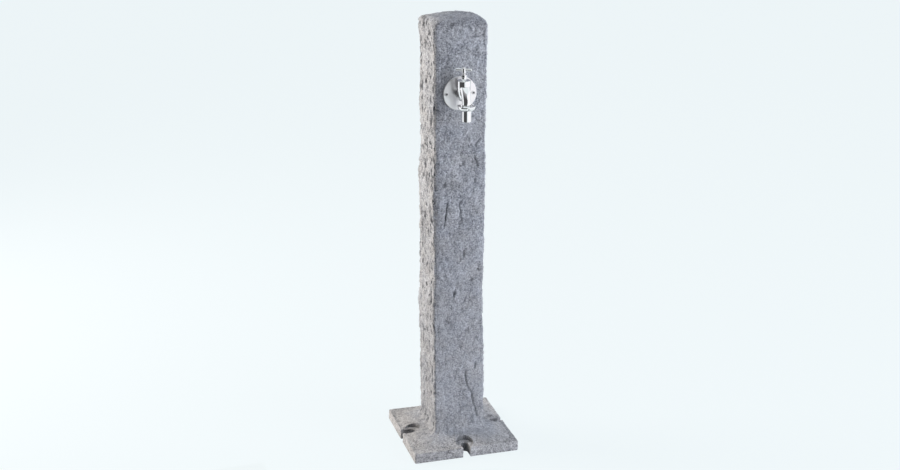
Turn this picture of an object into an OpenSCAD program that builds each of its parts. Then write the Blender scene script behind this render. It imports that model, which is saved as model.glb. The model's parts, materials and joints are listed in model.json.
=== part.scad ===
// Garden standpipe: a hollow stone-look pillar on a square foot, with a tee-handled tap on its
// front face and a supply inlet low on its back. Sizes are in millimetres. The origin is the middle
// of the foot's underside, +Z is up and the tap faces -Y.

/* [Pillar] */
// Overall height from the ground to the top of the crown
pillar_h = 996; // [800:1:1300]
// Width of the square shaft across its faces
pillar_w = 116; // [108:1:160]
// Radius of the shaft's upright edges
shaft_edge_r = 10; // [4:1:20]
// Thickness of the moulded wall
wall_t = 8; // [5:0.5:10]
// Height of the rounded crown
crown_h = 16; // [10:1:40]
// Fullness of the crown: 2 is an even dome, more is a flatter top with rounder shoulders
crown_power = 3; // [2:0.5:5]

/* [Foot] */
// Width of the square foot plate
foot_w = 244; // [220:2:320]
// Thickness of the foot plate at its edge
foot_t = 24; // [16:1:36]
// Radius of the foot plate's corners
foot_corner_r = 6; // [2:1:20]
// Height that the foot's top swells between its edge and the shaft
swell_h = 12; // [6:1:20]
// Height of the hollow curve from the swell up to the shaft
flare_h = 18; // [8:1:40]
// Width of the hollow curve from the swell up to the shaft
flare_w = 17; // [8:1:24]
// Width of each fixing slot
slot_w = 18; // [10:0.5:20]
// Distance from the foot's edge to the middle of the slot's round end
slot_inset = 22; // [14:1:30]
// Diameter of the round washer seat over each slot
seat_d = 36; // [24:1:40]
// Distance from the foot's edge to the middle of the washer seat
seat_inset = 24; // [20:1:30]
// Depth of the washer seat below the foot's edge
seat_depth = 2; // [1:0.5:6]

/* [Places on the pillar] */
// Height of the tap's inlet axis
tap_z = 834; // [600:1:1000]
// Height of the supply inlet's axis
inlet_z = 90; // [75:1:200]
// Distance from the pillar's face to the tap's spindle
spindle_reach = 30; // [24:0.5:45]
// Distance from the spindle to the outlet's axis
outlet_reach = 21; // [19:0.5:24]

/* [Wall fittings] */
// Diameter of each rosette
rosette_d = 74; // [70:1:90]
// Thickness of each rosette
rosette_t = 4; // [2.5:0.5:6]
// Distance from a rosette's rim to the middle of each screw
screw_inset = 7; // [6.5:0.5:12]
// Diameter of the screws that hold the rosettes
screw_d = 5; // [3.5:0.5:6]
// Diameter of a screw's head
screw_head_d = 8.5; // [7:0.5:10]
// Height of a screw's head
screw_head_h = 2.4; // [1.5:0.1:3]
// Thickness of the gasket behind each wall
gasket_t = 2; // [1:0.5:3]
// Thickness of an elbow's flange
flange_t = 5; // [4:0.5:8]
// Outer diameter of the half-inch pipe thread
half_thread_d = 20.96; // [18:0.01:25.2]
// Bore of the water way through the shanks
water_d = 13; // [10:0.5:14]
// Depth of an elbow's threaded socket
socket_depth = 14; // [10:0.5:18]
// Thickness of the washer at the bottom of a socket
socket_washer_t = 2; // [1:0.5:3]
// Metal round an elbow's threaded socket
elbow_wall = 4.5; // [3:0.5:6]
// Distance from an elbow's wall side to its branch
branch_inset = 22; // [20:0.5:30]
// Length of an elbow's branch before its thread
branch_l = 28; // [26:1:40]
// Length of the branch's thread
branch_thread_l = 12; // [10:0.5:16]

/* [Tap valve] */
// Height of the barrel's top above the inlet axis
barrel_top = 22.5; // [22:0.5:26]
// Wall of the barrel round the headwork's thread
barrel_wall = 4; // [3:0.1:4.5]
// Diameter of the hole through the valve seat, which the barrel is sized round
seat_hole_d = 11; // [9:0.1:13.2]
// Width of the raised valve seat
seat_lip = 1.5; // [1:0.1:2]
// Height of the valve seat above the inlet axis
seat_z = 11; // [10.5:0.1:12]
// Greatest lift of the valve
valve_lift = 4; // [2:0.5:4.5]
// Thickness of the rubber valve washer
valve_washer_t = 3.5; // [2:0.1:4]
// Diameter of the spindle's stem
stem_d = 7; // [6:0.1:7.5]
// Diameter of the spindle's screw thread
spindle_thread_d = 10; // [9.5:0.1:12]
// Step from the barrel in to the headwork's two spanner flats
bonnet_step = 0.6; // [0.5:0.1:2]
// Height of the headwork's round cap
bonnet_cap_h = 12; // [7:0.5:13]
// Radius of the ball that domes the cap's top
bonnet_dome_r = 20; // [17:0.5:40]
// Wall of the stuffing box
neck_wall = 1.25; // [1:0.05:2]
// Step from the stuffing box's bore out to the flats of the gland's hexagon
gland_rim = 0.75; // [0.5:0.05:1.5]
// Height of the gland's hexagon
gland_h = 4.5; // [3:0.5:6]

/* [Tee handle] */
// Length of the tee bar from tip to tip
tee_l = 35; // [28:1:60]
// Diameter of the bar where it meets the hub
tee_root_d = 4; // [3:0.1:5]
// Diameter of the bar at its tips
tee_tip_d = 6; // [4:0.1:8]
// Turn of the bar from the pillar's face while the tap is shut
tee_angle = -25; // [-90:1:90]
// Diameter of the hub
hub_d = 9; // [8:0.1:12]
// Height of the hub
hub_h = 10; // [9:0.5:14]
// Stem that shows between the gland and the hub while the tap is shut
stem_show = 4.5; // [2:0.5:12]

/* [Outlet] */
// Outer diameter of the spout
spout_d = 19; // [17:0.5:20]
// Bore of the spout
spout_bore_d = 11; // [9:0.5:11]
// Diameter of the union ring
ring_d = 38; // [36:0.5:40]
// Height of the union ring
ring_h = 8; // [7.5:0.1:10]
// Gap between the barrel's underside and the ring's top
ring_gap = 1.5; // [1:0.5:5]
// Outer diameter of the union's pipe thread
union_thread_d = 26.44; // [25:0.01:28]
// Pitch of the union's thread, which it follows for two turns
union_pitch = 1.814; // [1:0.001:1.814]
// Diameter of the hose nozzle
nozzle_d = 20; // [16:0.5:21]
// Wall of the hose nozzle
nozzle_wall = 2.5; // [1:0.1:3]
// Length of the nozzle below the ring
nozzle_l = 25; // [20:1:40]

/* [Supply] */
// Outer diameter of the inner hose
hose_d = 18; // [17:0.5:19]
// Bore of the inner hose
hose_bore_d = 13; // [11:0.5:13.5]
// Length of a crimped ferrule
ferrule_l = 32; // [24:1:45]
// Wall of a crimped ferrule
ferrule_t = 1.5; // [1:0.1:2]
// Least wall of a hose nut round its thread
hose_nut_wall = 2.5; // [1.5:0.1:4]
// Outer diameter of the inlet's pipe thread
inlet_thread_d = 26.44; // [24:0.01:34]
// Length of the inlet's pipe thread
inlet_thread_l = 16; // [12:1:20]
// Size of the inlet's hexagon across its flats
inlet_af = 32; // [30:0.5:40]
// Height of the inlet's hexagon
inlet_hex_h = 8; // [6:0.5:12]

/* [Fits] */
// Clearance all round a thread, a shaft or a spigot in its hole
fit_gap = 0.05; // [0.02:0.01:0.1]
// Clearance all round a piece that only has to pass through
pass_gap = 0.4; // [0.3:0.05:1]

/* [Hidden] */

$fn = 64;
hull_fn = 32;
over = 1;
slice_t = 0.01;
hex_to_corner = 1 / cos(30);

STONE = "#aaa7a0";
CHROME = "#d6dadd";
SATIN = "#b9bdc0";
BRASS = "#c7a252";
RUBBER = "#2b2b2d";
FIBRE = "#a4503c";
BRAID = "#8f9498";

// Pillar
cavity_w = pillar_w - 2 * wall_t;
least_edge_r = 1;
cavity_edge_r = max(least_edge_r, shaft_edge_r - wall_t / 2);
cavity_top = pillar_h - crown_h;
swell_top = foot_t + swell_h;
swell_top_w = pillar_w + 2 * flare_w;
swell_top_r = shaft_edge_r + flare_w / 2;
swell_rim = 8;
bury = 1;
slot_cut_h = foot_t + swell_h + flare_h;
crown_turn_last = 84;
crown_turns = [0 : 12 : crown_turn_last];
crown_corner_gain = 0.4;

// Wall fittings, measured inwards from the pillar's outer face
screw_x = rosette_d / 2 - screw_inset;
flange_y = wall_t + gasket_t;
flange_end = flange_y + flange_t;
socket_end = flange_y + socket_depth;
shank_end = socket_end - socket_washer_t;
branch_y = flange_y + branch_inset;
half_r = half_thread_d / 2;
socket_r = half_r + fit_gap;
wall_hole_gap = 1.5;
wall_hole_r = half_r + wall_hole_gap;
elbow_r = socket_r + elbow_wall;
flange_rim = 5;
flange_r = elbow_r + flange_rim;
screw_r = screw_d / 2;
lug_wall = 6.5;
lug_r = screw_r + lug_wall;
screw_hole_r = screw_r + pass_gap;
crown_of_head = 0.36;
screw_crown_r = screw_head_d * crown_of_head;
cross_of_head = 0.55;
cross_l = screw_head_d * cross_of_head;
cross_of_height = 0.4;
cross_w = screw_head_h * cross_of_height;
rosette_r = rosette_d / 2;
rosette_bevel = 2.5;
water_r = water_d / 2;

// Hose connections, measured down the branch from the fitting's axis
branch_end = branch_l + branch_thread_l;
hose_sides = 12;
hose_washer_t = 2;
tail_collar_t = 3;
tail_collar_gap = 1.2;
tail_collar_r = half_r - tail_collar_gap;
nut_shoulder_t = 4;
nut_gap = 1;
nut_start = branch_l + nut_gap;
hose_nut_af = 2 * (socket_r + hose_nut_wall);
tail_step = 0.75;
tail_r = hose_bore_d / 2 + tail_step;
collar_start = branch_end + hose_washer_t;
collar_end = collar_start + tail_collar_t;
nut_end = collar_end + nut_shoulder_t;
ferrule_start = nut_end + nut_gap;
ferrule_lip = 2;
hose_end = ferrule_start + ferrule_lip;
ferrule_end = ferrule_start + ferrule_l;
spigot_r = hose_bore_d / 2 * cos(180 / hose_sides) - 2 * fit_gap;
spigot_inset = 2;
spigot_end = ferrule_end - spigot_inset;
spigot_wall = 1.4;
tail_bore_r = spigot_r - spigot_wall;

// Route of the supply hose: straight at each end, one soft bend between
hose_rings = 24;
hose_low_z = inlet_z + hose_end;
hose_high_z = tap_z - hose_end;
hose_low_y = pillar_w / 2 - branch_y;
hose_high_y = branch_y - pillar_w / 2;
hose_straight = ferrule_l + hose_d;
bend_h = hose_high_z - hose_low_z - 2 * hose_straight;

// Valve, measured up from the inlet axis, and each radius from the one inside it
seat_hole_r = seat_hole_d / 2;
seat_r = seat_hole_r + seat_lip;
washer_step = 0.5;
valve_washer_r = seat_r + washer_step;
jumper_r = valve_washer_r + washer_step;
jumper_gap = 0.6;
skirt_bore_r = jumper_r + jumper_gap;
skirt_wall = 1.85;
skirt_r = skirt_bore_r + skirt_wall;
chamber_r = skirt_r + fit_gap;
barrel_r = chamber_r + barrel_wall;
dome_z = -1;
lower_step = 1.5;
lower_r = seat_hole_r + lower_step;
lower_bottom = -8;
seat_web = 5;
lip_h = 2;
chamber_floor = seat_z - lip_h;
bonnet_washer_t = 1.5;
bonnet_z = barrel_top + bonnet_washer_t;
bonnet_af = 2 * (barrel_r - bonnet_step);
neck_land = 0.5;
skirt_l = 7;
skirt_z = bonnet_z - skirt_l;
skirt_roof = 1;
jumper_z = seat_z + valve_washer_t;
jumper_t = 2.5;
jumper_top = jumper_z + jumper_t;
jumper_stem_r = 3;
jumper_stem_l = 10;
stud_r = 2;
stud_show = 3;
stud_l = valve_washer_t + stud_show;
washer_nut_af = 7;
washer_nut_h = 2.5;
spindle_thread_l = 15;
spindle_shoulder = jumper_top + spindle_thread_l;
lift_spare = 0.5;
thread_bore_top = spindle_shoulder + valve_lift + lift_spare;
web_t = 1.5;
box_floor = thread_bore_top + web_t;
packing_t = 2.5;
gland_thread_l = 1.5;
neck_top = box_floor + packing_t + gland_thread_l;
stem_r = stem_d / 2;
stem_hole_r = stem_r + fit_gap;
spindle_r = spindle_thread_d / 2;
box_step = 0.25;
box_r = spindle_r + box_step;
neck_r = box_r + neck_wall;
gland_af = 2 * (box_r + gland_rim);
hub_z = neck_top + gland_h + stem_show;
hub_top = hub_z + hub_h;
hub_roof = 3;
square_of_stem = 0.7;
square_w = stem_d * square_of_stem;
square_l = hub_h - hub_roof;
handle_screw_r = 1.5;
handle_screw_l = 8;
handle_screw_end = hub_top - handle_screw_l;
cap_r = 3.2;
cap_h = 2;
cap_sphere_r = (cap_r * cap_r + cap_h * cap_h) / (2 * cap_h);
tee_of_hub = 0.62;
tee_z = hub_z + hub_h * tee_of_hub;
tip_edge = 0.8;

// Spout and union, measured from the spindle and down from the inlet axis
spout_r = spout_d / 2;
spout_bore_r = spout_bore_d / 2;
slant_angle = 45;
slant_root = 4;
slant_in = barrel_r - slant_root;
slant_z = 14;
slant_run = outlet_reach - slant_in;
slant_l = slant_run / sin(slant_angle);
slant_bore_over = 3;
slant_bore_l = slant_l + slant_bore_over;
bend_z = slant_z - slant_run / tan(slant_angle);
joint_bulge = 0.2;
union_r = union_thread_d / 2;
union_turns = 2;
boss_l = union_turns * union_pitch;
ring_drop = barrel_r - dome_z + ring_gap;
boss_end = ring_drop + boss_l;
nozzle_washer_t = 1.2;
nozzle_collar_t = 1.4;
collar_gap = 0.35;
nozzle_collar_r = union_r - collar_gap;
nozzle_r = nozzle_d / 2;
nozzle_bore_r = nozzle_r - nozzle_wall;
neck_step = 0.2;
nozzle_neck_r = nozzle_r - neck_step;
ring_hole_gap = 0.1;
ring_hole_r = nozzle_r + ring_hole_gap;
collar_drop = boss_end + nozzle_washer_t + nozzle_collar_t;
ring_bottom = ring_drop + ring_h;
nozzle_bottom = ring_bottom + nozzle_l;
nozzle_edge = 1;
ring_edge = 1.2;

// Supply nipple
inlet_thread_r = inlet_thread_d / 2;
inlet_hex_y = rosette_t + inlet_hex_h;
inlet_end = inlet_hex_y + inlet_thread_l;
thread_edge = 1;
hex_edge = 0.96;

// Stands a fitting on the front face: y is 0 on the face and runs inwards, z is 0 on its axis
module at_tap() translate([0, -pillar_w / 2, tap_z]) children();

// The same on the back face, with the branch turned upwards
module at_inlet() translate([0, pillar_w / 2, inlet_z]) rotate([180, 0, 0]) children();

// Stands a piece on the tap's spindle axis
module at_spindle() at_tap() translate([0, -spindle_reach, 0]) children();

// Stands a piece on the outlet's axis
module at_outlet() at_spindle() translate([0, -outlet_reach, 0]) children();

// A cylinder along Y from one depth to another
module along_y(from, to, r) translate([0, from, 0]) rotate([-90, 0, 0]) cylinder(r = r, h = to - from);

// A cylinder along Z from one height to another
module along_z(from, to, r) translate([0, 0, from]) cylinder(r = r, h = to - from);

// A flat ring along Z
module ring_z(from, to, r_out, r_in) difference() {
    along_z(from, to, r_out);
    along_z(from - over, to + over, r_in);
}

// A flat ring along Y
module ring_y(from, to, r_out, r_in) difference() {
    along_y(from, to, r_out);
    along_y(from - over, to + over, r_in);
}

// A hexagon along Z with its top corners cut back
module hexagon_z(from, to, af) intersection() {
    translate([0, 0, from]) cylinder(r = af / 2 * hex_to_corner, h = to - from, $fn = 6);
    translate([0, 0, from]) rotate_extrude() polygon([
        [0, 0], [af, 0], [af, to - from - af / 2],
        [af / 2 * hex_edge, to - from], [0, to - from]
    ]);
}

// The headwork's round cap along Z: a domed cylinder with two spanner flats
module domed_cap(from, to) intersection() {
    along_z(from, to, barrel_r);
    translate([0, 0, to - sqrt(pow(bonnet_dome_r, 2) - pow(neck_r + neck_land, 2))]) sphere(r = bonnet_dome_r);
    translate([-bonnet_af / 2, -barrel_r - over, from - over])
        cube([bonnet_af, 2 * (barrel_r + over), to - from + 2 * over]);
}

// A square with round corners, in the plane
module rounded_square(w, r) {
    square([w - 2 * r, w], center = true);
    square([w, w - 2 * r], center = true);
    for (x = [-1, 1], y = [-1, 1])
        translate([x * (w / 2 - r), y * (w / 2 - r)]) circle(r = r);
}

// A thin slice of a square with round corners, for blending
module slice(w, r, z) translate([0, 0, z]) linear_extrude(slice_t) offset(r = r, $fn = hull_fn)
    square(w - 2 * r, center = true);

// The foot's swelling top and the hollow curve up to the shaft
module foot_top() {
    hull() {
        slice(foot_w - 2 * swell_rim, foot_corner_r + swell_rim, foot_t - bury);
        slice(swell_top_w, swell_top_r, swell_top);
    }
    hull() {
        slice(swell_top_w - bury, swell_top_r, swell_top - bury);
        slice(pillar_w - bury, shaft_edge_r, swell_top + flare_h);
    }
}

// Half width of the crown, and its height as a share of the whole, at a turn of its rounded outline
function crown_half(turn) = pillar_w / 2 * pow(cos(turn), 2 / crown_power);
function crown_share(turn) = pow(sin(turn), 2 / crown_power);

// The square shaft and its rounded crown
module shaft() hull() {
    slice(pillar_w, shaft_edge_r, foot_t / 2);
    for (turn = crown_turns) {
        half = crown_half(turn);
        drop = crown_h * (1 - crown_share(turn) / crown_share(crown_turn_last));
        corner_r = shaft_edge_r + (pillar_w / 2 - half) * crown_corner_gain;
        slice(2 * half, min(corner_r, half - bury), pillar_h - slice_t - drop);
    }
}

// The cut for one fixing slot and its washer seat, on the -Y side
module fixing_slot() {
    translate([0, -foot_w / 2, -over]) linear_extrude(slot_cut_h) {
        translate([-slot_w / 2, -over]) square([slot_w, slot_inset + over]);
        translate([0, slot_inset]) circle(d = slot_w);
    }
    translate([0, seat_inset - foot_w / 2, foot_t - seat_depth]) cylinder(d = seat_d, h = slot_cut_h);
}

// The holes for one wall fitting
module wall_holes() {
    along_y(-over, wall_t + over, wall_hole_r);
    for (x = [-1, 1])
        translate([x * screw_x, 0, 0]) along_y(-over, wall_t + over, screw_hole_r);
}

// The hollow moulding, open at its underside
module stone_pillar() color(STONE) difference() {
    union() {
        linear_extrude(foot_t) rounded_square(foot_w, foot_corner_r);
        foot_top();
        shaft();
    }
    translate([0, 0, -over]) linear_extrude(cavity_top + over) rounded_square(cavity_w, cavity_edge_r);
    for (a = [0 : 90 : 270]) rotate([0, 0, a]) fixing_slot();
    at_tap() wall_holes();
    at_inlet() wall_holes();
}

// A round cover plate with a bevelled rim
module rosette() color(SATIN) difference() {
    rotate([90, 0, 0]) rotate_extrude() polygon([
        [0, 0], [rosette_r, 0], [rosette_r, rosette_t - rosette_bevel],
        [rosette_r - rosette_bevel, rosette_t], [0, rosette_t]
    ]);
    along_y(-rosette_t - over, over, half_r + pass_gap);
    for (x = [-1, 1])
        translate([x * screw_x, 0, 0]) along_y(-rosette_t - over, over, screw_hole_r);
}

// Two cross-head screws through a rosette into the elbow's lugs
module rosette_screws() color(CHROME) for (x = [-1, 1]) translate([x * screw_x, 0, 0]) {
    difference() {
        translate([0, -rosette_t, 0]) rotate([90, 0, 0]) rotate_extrude() polygon([
            [0, 0], [screw_head_d / 2, 0], [screw_head_d / 2, screw_head_h / 2],
            [screw_crown_r, screw_head_h], [0, screw_head_h]
        ]);
        for (a = [45, 135]) translate([0, -rosette_t - screw_head_h, 0]) rotate([0, a, 0])
            cube([cross_l, screw_head_h, cross_w], center = true);
    }
    along_y(-rosette_t, flange_end, screw_r);
}

// Outline of an elbow's flange: a disc with two lugs
module flange_outline() {
    circle(r = flange_r);
    square([2 * screw_x, 2 * lug_r], center = true);
    for (x = [-1, 1]) translate([x * screw_x, 0]) circle(r = lug_r);
}

// The two screw holes across a flange or gasket
module lug_holes(from, to, r) for (x = [-1, 1])
    translate([x * screw_x, 0, 0]) along_y(from - over, to + over, r);

// Flat gasket between the wall and an elbow's flange
module wall_gasket() color(RUBBER) difference() {
    translate([0, flange_y, 0]) rotate([90, 0, 0]) linear_extrude(gasket_t) flange_outline();
    along_y(wall_t - over, flange_y + over, wall_hole_r);
    lug_holes(wall_t, flange_y, screw_hole_r);
}

// Wall-plate elbow: threaded socket towards the wall, threaded branch at a right angle
module wall_elbow() color(BRASS) difference() {
    union() {
        translate([0, flange_end, 0]) rotate([90, 0, 0]) linear_extrude(flange_t) flange_outline();
        along_y(flange_y, branch_y, elbow_r);
        translate([0, branch_y, 0]) {
            sphere(r = elbow_r + joint_bulge);
            along_z(-branch_l, 0, elbow_r);
            along_z(-branch_end, 0, half_r);
        }
    }
    along_y(flange_y - over, socket_end, socket_r);
    along_y(flange_y, branch_y, water_r);
    translate([0, branch_y, 0]) {
        sphere(r = water_r + joint_bulge);
        along_z(-branch_end - over, 0, water_r);
    }
    lug_holes(flange_y, flange_end, screw_r + fit_gap);
}

// Washer at the bottom of an elbow's socket
module socket_washer() color(FIBRE) ring_y(shank_end, socket_end, half_r - pass_gap, water_r);

// Flat washer between a branch and the hose's tail
module hose_washer() color(FIBRE) translate([0, branch_y, 0])
    ring_z(-collar_start, -branch_end, tail_collar_r, water_r);

// Tail with a collar that the nut draws up and a spigot inside the hose
module hose_tail() color(BRASS) translate([0, branch_y, 0]) difference() {
    union() {
        along_z(-collar_end, -collar_start, tail_collar_r);
        along_z(-hose_end, -collar_end, tail_r);
        along_z(-spigot_end, -hose_end, spigot_r);
    }
    along_z(-spigot_end - over, -branch_end, tail_bore_r);
}

// Hexagon nut that holds a tail to its branch
module hose_nut() color(SATIN) translate([0, branch_y, 0]) difference() {
    rotate([180, 0, 0]) hexagon_z(nut_start, nut_end, hose_nut_af);
    along_z(-collar_end, -branch_l, socket_r);
    along_z(-nut_end - over, -collar_end, tail_r + fit_gap);
}

// Crimped sleeve over the hose's end
module hose_ferrule() color(SATIN) translate([0, branch_y, 0]) difference() {
    along_z(-ferrule_end, -ferrule_start, hose_d / 2 + ferrule_t);
    along_z(-ferrule_end - over, -hose_end, hose_d / 2 + fit_gap);
    along_z(-hose_end - over, -ferrule_start + over, tail_r + fit_gap);
}

// Height along the hose for a share of its length
function hose_z(u) = hose_low_z + u * (hose_high_z - hose_low_z);

// Share of the soft bend that is done at a height
function bend_share(z) =
    min(1, max(0, (z - hose_low_z - hose_straight) / bend_h));

// Depth of the hose's middle at a height: an even S from the inlet's branch to the tap's
function hose_y(z) =
    let (u = bend_share(z))
    hose_low_y + (hose_high_y - hose_low_y) * u * u * (3 - 2 * u);

// Lean of the hose from upright at a height
function hose_lean(z) =
    let (u = bend_share(z))
    atan(6 * u * (1 - u) * (hose_high_y - hose_low_y) / bend_h);

// One ring of points square to the hose
function hose_ring(z, r) = [
    for (k = [0 : hose_sides - 1])
        let (a = 360 * k / hose_sides, lean = hose_lean(z))
        [r * cos(a), hose_y(z) + r * sin(a) * cos(lean), z - r * sin(a) * sin(lean)]
];

// Two triangles for each side between two rings of points, which start at a and b
function band(a, b) = [
    for (k = [0 : hose_sides - 1])
        let (n = (k + 1) % hose_sides)
        each [[a + k, b + n, a + n], [a + k, b + k, b + n]]
];

// Flexible hose, one tube from the lower tail to the upper one
module supply_hose() color(BRAID) {
    heights = [for (i = [0 : hose_rings - 1]) hose_z(i / (hose_rings - 1))];
    outer = [for (z = heights) each hose_ring(z, hose_d / 2)];
    inner = [for (z = heights) each hose_ring(z, hose_bore_d / 2)];
    inner_at = hose_rings * hose_sides;
    last = (hose_rings - 1) * hose_sides;
    polyhedron(concat(outer, inner), concat(
        [for (i = [0 : hose_rings - 2]) each band(i * hose_sides, (i + 1) * hose_sides)],
        [for (i = [0 : hose_rings - 2])
            each band(inner_at + (i + 1) * hose_sides, inner_at + i * hose_sides)],
        band(inner_at, 0),
        band(last, inner_at + last)
    ));
}

// Slanted tube from the outlet's axis back and up to the barrel
module spout_slant(l, r) translate([0, -outlet_reach, bend_z]) rotate([-slant_angle, 0, 0])
    cylinder(r = r, h = l);

// Tap casting: shank, barrel with its seat, and spout with the union's boss
module tap_body() color(CHROME) at_spindle() difference() {
    union() {
        along_z(dome_z, barrel_top, barrel_r);
        translate([0, 0, dome_z]) sphere(r = barrel_r);
        along_y(0, spindle_reach + shank_end, half_r);
        spout_slant(slant_l, spout_r);
        translate([0, -outlet_reach, 0]) {
            translate([0, 0, bend_z]) sphere(r = spout_r + joint_bulge);
            along_z(-boss_end, bend_z, spout_r);
            along_z(-boss_end, -ring_drop, union_r);
        }
    }
    along_z(lower_bottom, seat_z - seat_web, lower_r);
    along_z(lower_bottom, barrel_top, seat_hole_r);
    ring_z(chamber_floor, seat_z, chamber_r, seat_r);
    along_z(seat_z, barrel_top + over, chamber_r);
    along_y(0, spindle_reach + shank_end + over, water_r);
    spout_slant(slant_bore_l, spout_bore_r);
    translate([0, -outlet_reach, 0]) {
        translate([0, 0, bend_z]) sphere(r = spout_bore_r + joint_bulge);
        along_z(-boss_end - over, bend_z, spout_bore_r);
    }
}

// Seal between the headwork and the barrel
module bonnet_washer() color(FIBRE) at_spindle()
    ring_z(barrel_top, bonnet_z, barrel_r - bonnet_step, chamber_r + fit_gap);

// Headwork: threaded skirt, hexagon, spindle thread and stuffing box
module tap_bonnet() color(CHROME) at_spindle() difference() {
    union() {
        along_z(skirt_z, bonnet_z, skirt_r);
        domed_cap(bonnet_z, bonnet_z + bonnet_cap_h);
        along_z(bonnet_z, neck_top, neck_r);
    }
    along_z(skirt_z - over, bonnet_z - skirt_roof, skirt_bore_r);
    along_z(skirt_z, thread_bore_top, spindle_r + fit_gap);
    along_z(thread_bore_top - over, neck_top, stem_hole_r);
    along_z(box_floor, neck_top + over, box_r);
}

// Soft packing round the stem
module gland_packing() color(RUBBER) at_spindle()
    ring_z(box_floor, box_floor + packing_t, box_r - fit_gap, stem_hole_r);

// Gland that presses on the packing
module gland_nut() color(CHROME) at_spindle() difference() {
    union() {
        along_z(neck_top - gland_thread_l, neck_top, box_r - fit_gap);
        hexagon_z(neck_top, neck_top + gland_h, gland_af);
    }
    along_z(neck_top - gland_thread_l - over, neck_top + gland_h + over, stem_hole_r);
}

// Closing piece under the spindle, with the stud for its washer
module valve_jumper() color(BRASS) at_spindle() {
    along_z(jumper_z, jumper_top, jumper_r);
    along_z(jumper_z, jumper_top + jumper_stem_l, jumper_stem_r);
    along_z(jumper_z - stud_l, jumper_top, stud_r);
}

// Rubber washer that closes on the seat
module valve_washer() color(RUBBER) at_spindle()
    ring_z(seat_z, jumper_z, valve_washer_r, stud_r + fit_gap);

// Nut that holds the valve washer
module valve_washer_nut() color(BRASS) at_spindle() difference() {
    rotate([180, 0, 0]) hexagon_z(-seat_z, washer_nut_h - seat_z, washer_nut_af);
    along_z(seat_z - washer_nut_h - over, seat_z + over, stud_r + fit_gap);
}

// Spindle: thread, stem and square end
module valve_spindle() color(BRASS) at_spindle() difference() {
    union() {
        along_z(jumper_top, spindle_shoulder, spindle_r);
        along_z(spindle_shoulder, hub_z, stem_r);
        rotate([0, 0, tee_angle]) translate([-square_w / 2, -square_w / 2, hub_z - bury])
            cube([square_w, square_w, square_l + bury]);
    }
    along_z(jumper_top - over, jumper_top + jumper_stem_l + bury, jumper_stem_r + fit_gap);
    along_z(handle_screw_end - bury, hub_top, handle_screw_r + fit_gap);
}

// Tee handle: flared bar on a hub with a square hole
module tee_handle() color(CHROME) at_spindle() rotate([0, 0, tee_angle]) difference() {
    union() {
        along_z(hub_z, hub_top, hub_d / 2);
        translate([0, 0, tee_z]) rotate([0, 90, 0]) rotate_extrude() polygon([
            [0, -tee_l / 2], [tee_tip_d / 2 - tip_edge, -tee_l / 2], [tee_tip_d / 2, tip_edge - tee_l / 2],
            [tee_root_d / 2, 0],
            [tee_tip_d / 2, tee_l / 2 - tip_edge], [tee_tip_d / 2 - tip_edge, tee_l / 2], [0, tee_l / 2]
        ]);
    }
    translate([0, 0, hub_z - over]) linear_extrude(square_l + over)
        square(square_w + 2 * fit_gap, center = true);
    along_z(hub_z, hub_top + over, handle_screw_r + 2 * fit_gap);
}

// Domed screw that holds the handle
module handle_screw() color(CHROME) at_spindle() {
    along_z(handle_screw_end, hub_top, handle_screw_r);
    intersection() {
        translate([0, 0, hub_top + cap_h - cap_sphere_r]) sphere(r = cap_sphere_r);
        along_z(hub_top, hub_top + cap_h, cap_r);
    }
}

// Union ring that holds the nozzle to the spout
module union_ring() color(CHROME) at_outlet() difference() {
    translate([0, 0, -ring_bottom]) rotate_extrude() polygon([
        [0, 0], [ring_d / 2 - ring_edge, 0], [ring_d / 2, ring_edge],
        [ring_d / 2, ring_h - ring_edge], [ring_d / 2 - ring_edge, ring_h], [0, ring_h]
    ]);
    along_z(-collar_drop, -ring_drop + over, union_r + fit_gap);
    along_z(-ring_bottom - over, -ring_drop, ring_hole_r);
}

// Nozzle that the garden hose is pushed on to, with the collar that the ring holds
module hose_nozzle() color(CHROME) at_outlet() difference() {
    union() {
        translate([0, 0, -nozzle_bottom]) rotate_extrude() polygon([
            [0, 0], [nozzle_r - nozzle_edge, 0], [nozzle_r, nozzle_edge], [nozzle_r, nozzle_l], [0, nozzle_l]
        ]);
        along_z(-ring_bottom, -collar_drop, nozzle_neck_r);
        along_z(-collar_drop, nozzle_collar_t - collar_drop, nozzle_collar_r);
    }
    along_z(-nozzle_bottom - over, -boss_end, nozzle_bore_r);
}

// Seal between the nozzle and the spout
module nozzle_washer() color(RUBBER) at_outlet()
    ring_z(-boss_end - nozzle_washer_t, -boss_end, nozzle_collar_r, nozzle_bore_r);

// Supply connection: thread into the elbow, hexagon, thread for the supply
module inlet_nipple() color(BRASS) at_inlet() difference() {
    union() {
        along_y(-rosette_t, shank_end, half_r);
        translate([0, -rosette_t, 0]) rotate([90, 0, 0]) hexagon_z(0, inlet_hex_h, inlet_af);
        translate([0, -inlet_hex_y, 0]) rotate([90, 0, 0]) rotate_extrude() polygon([
            [0, 0], [inlet_thread_r, 0], [inlet_thread_r, inlet_thread_l - thread_edge],
            [inlet_thread_r - thread_edge, inlet_thread_l], [0, inlet_thread_l]
        ]);
    }
    along_y(-inlet_end - over, shank_end + over, water_r);
}

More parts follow.
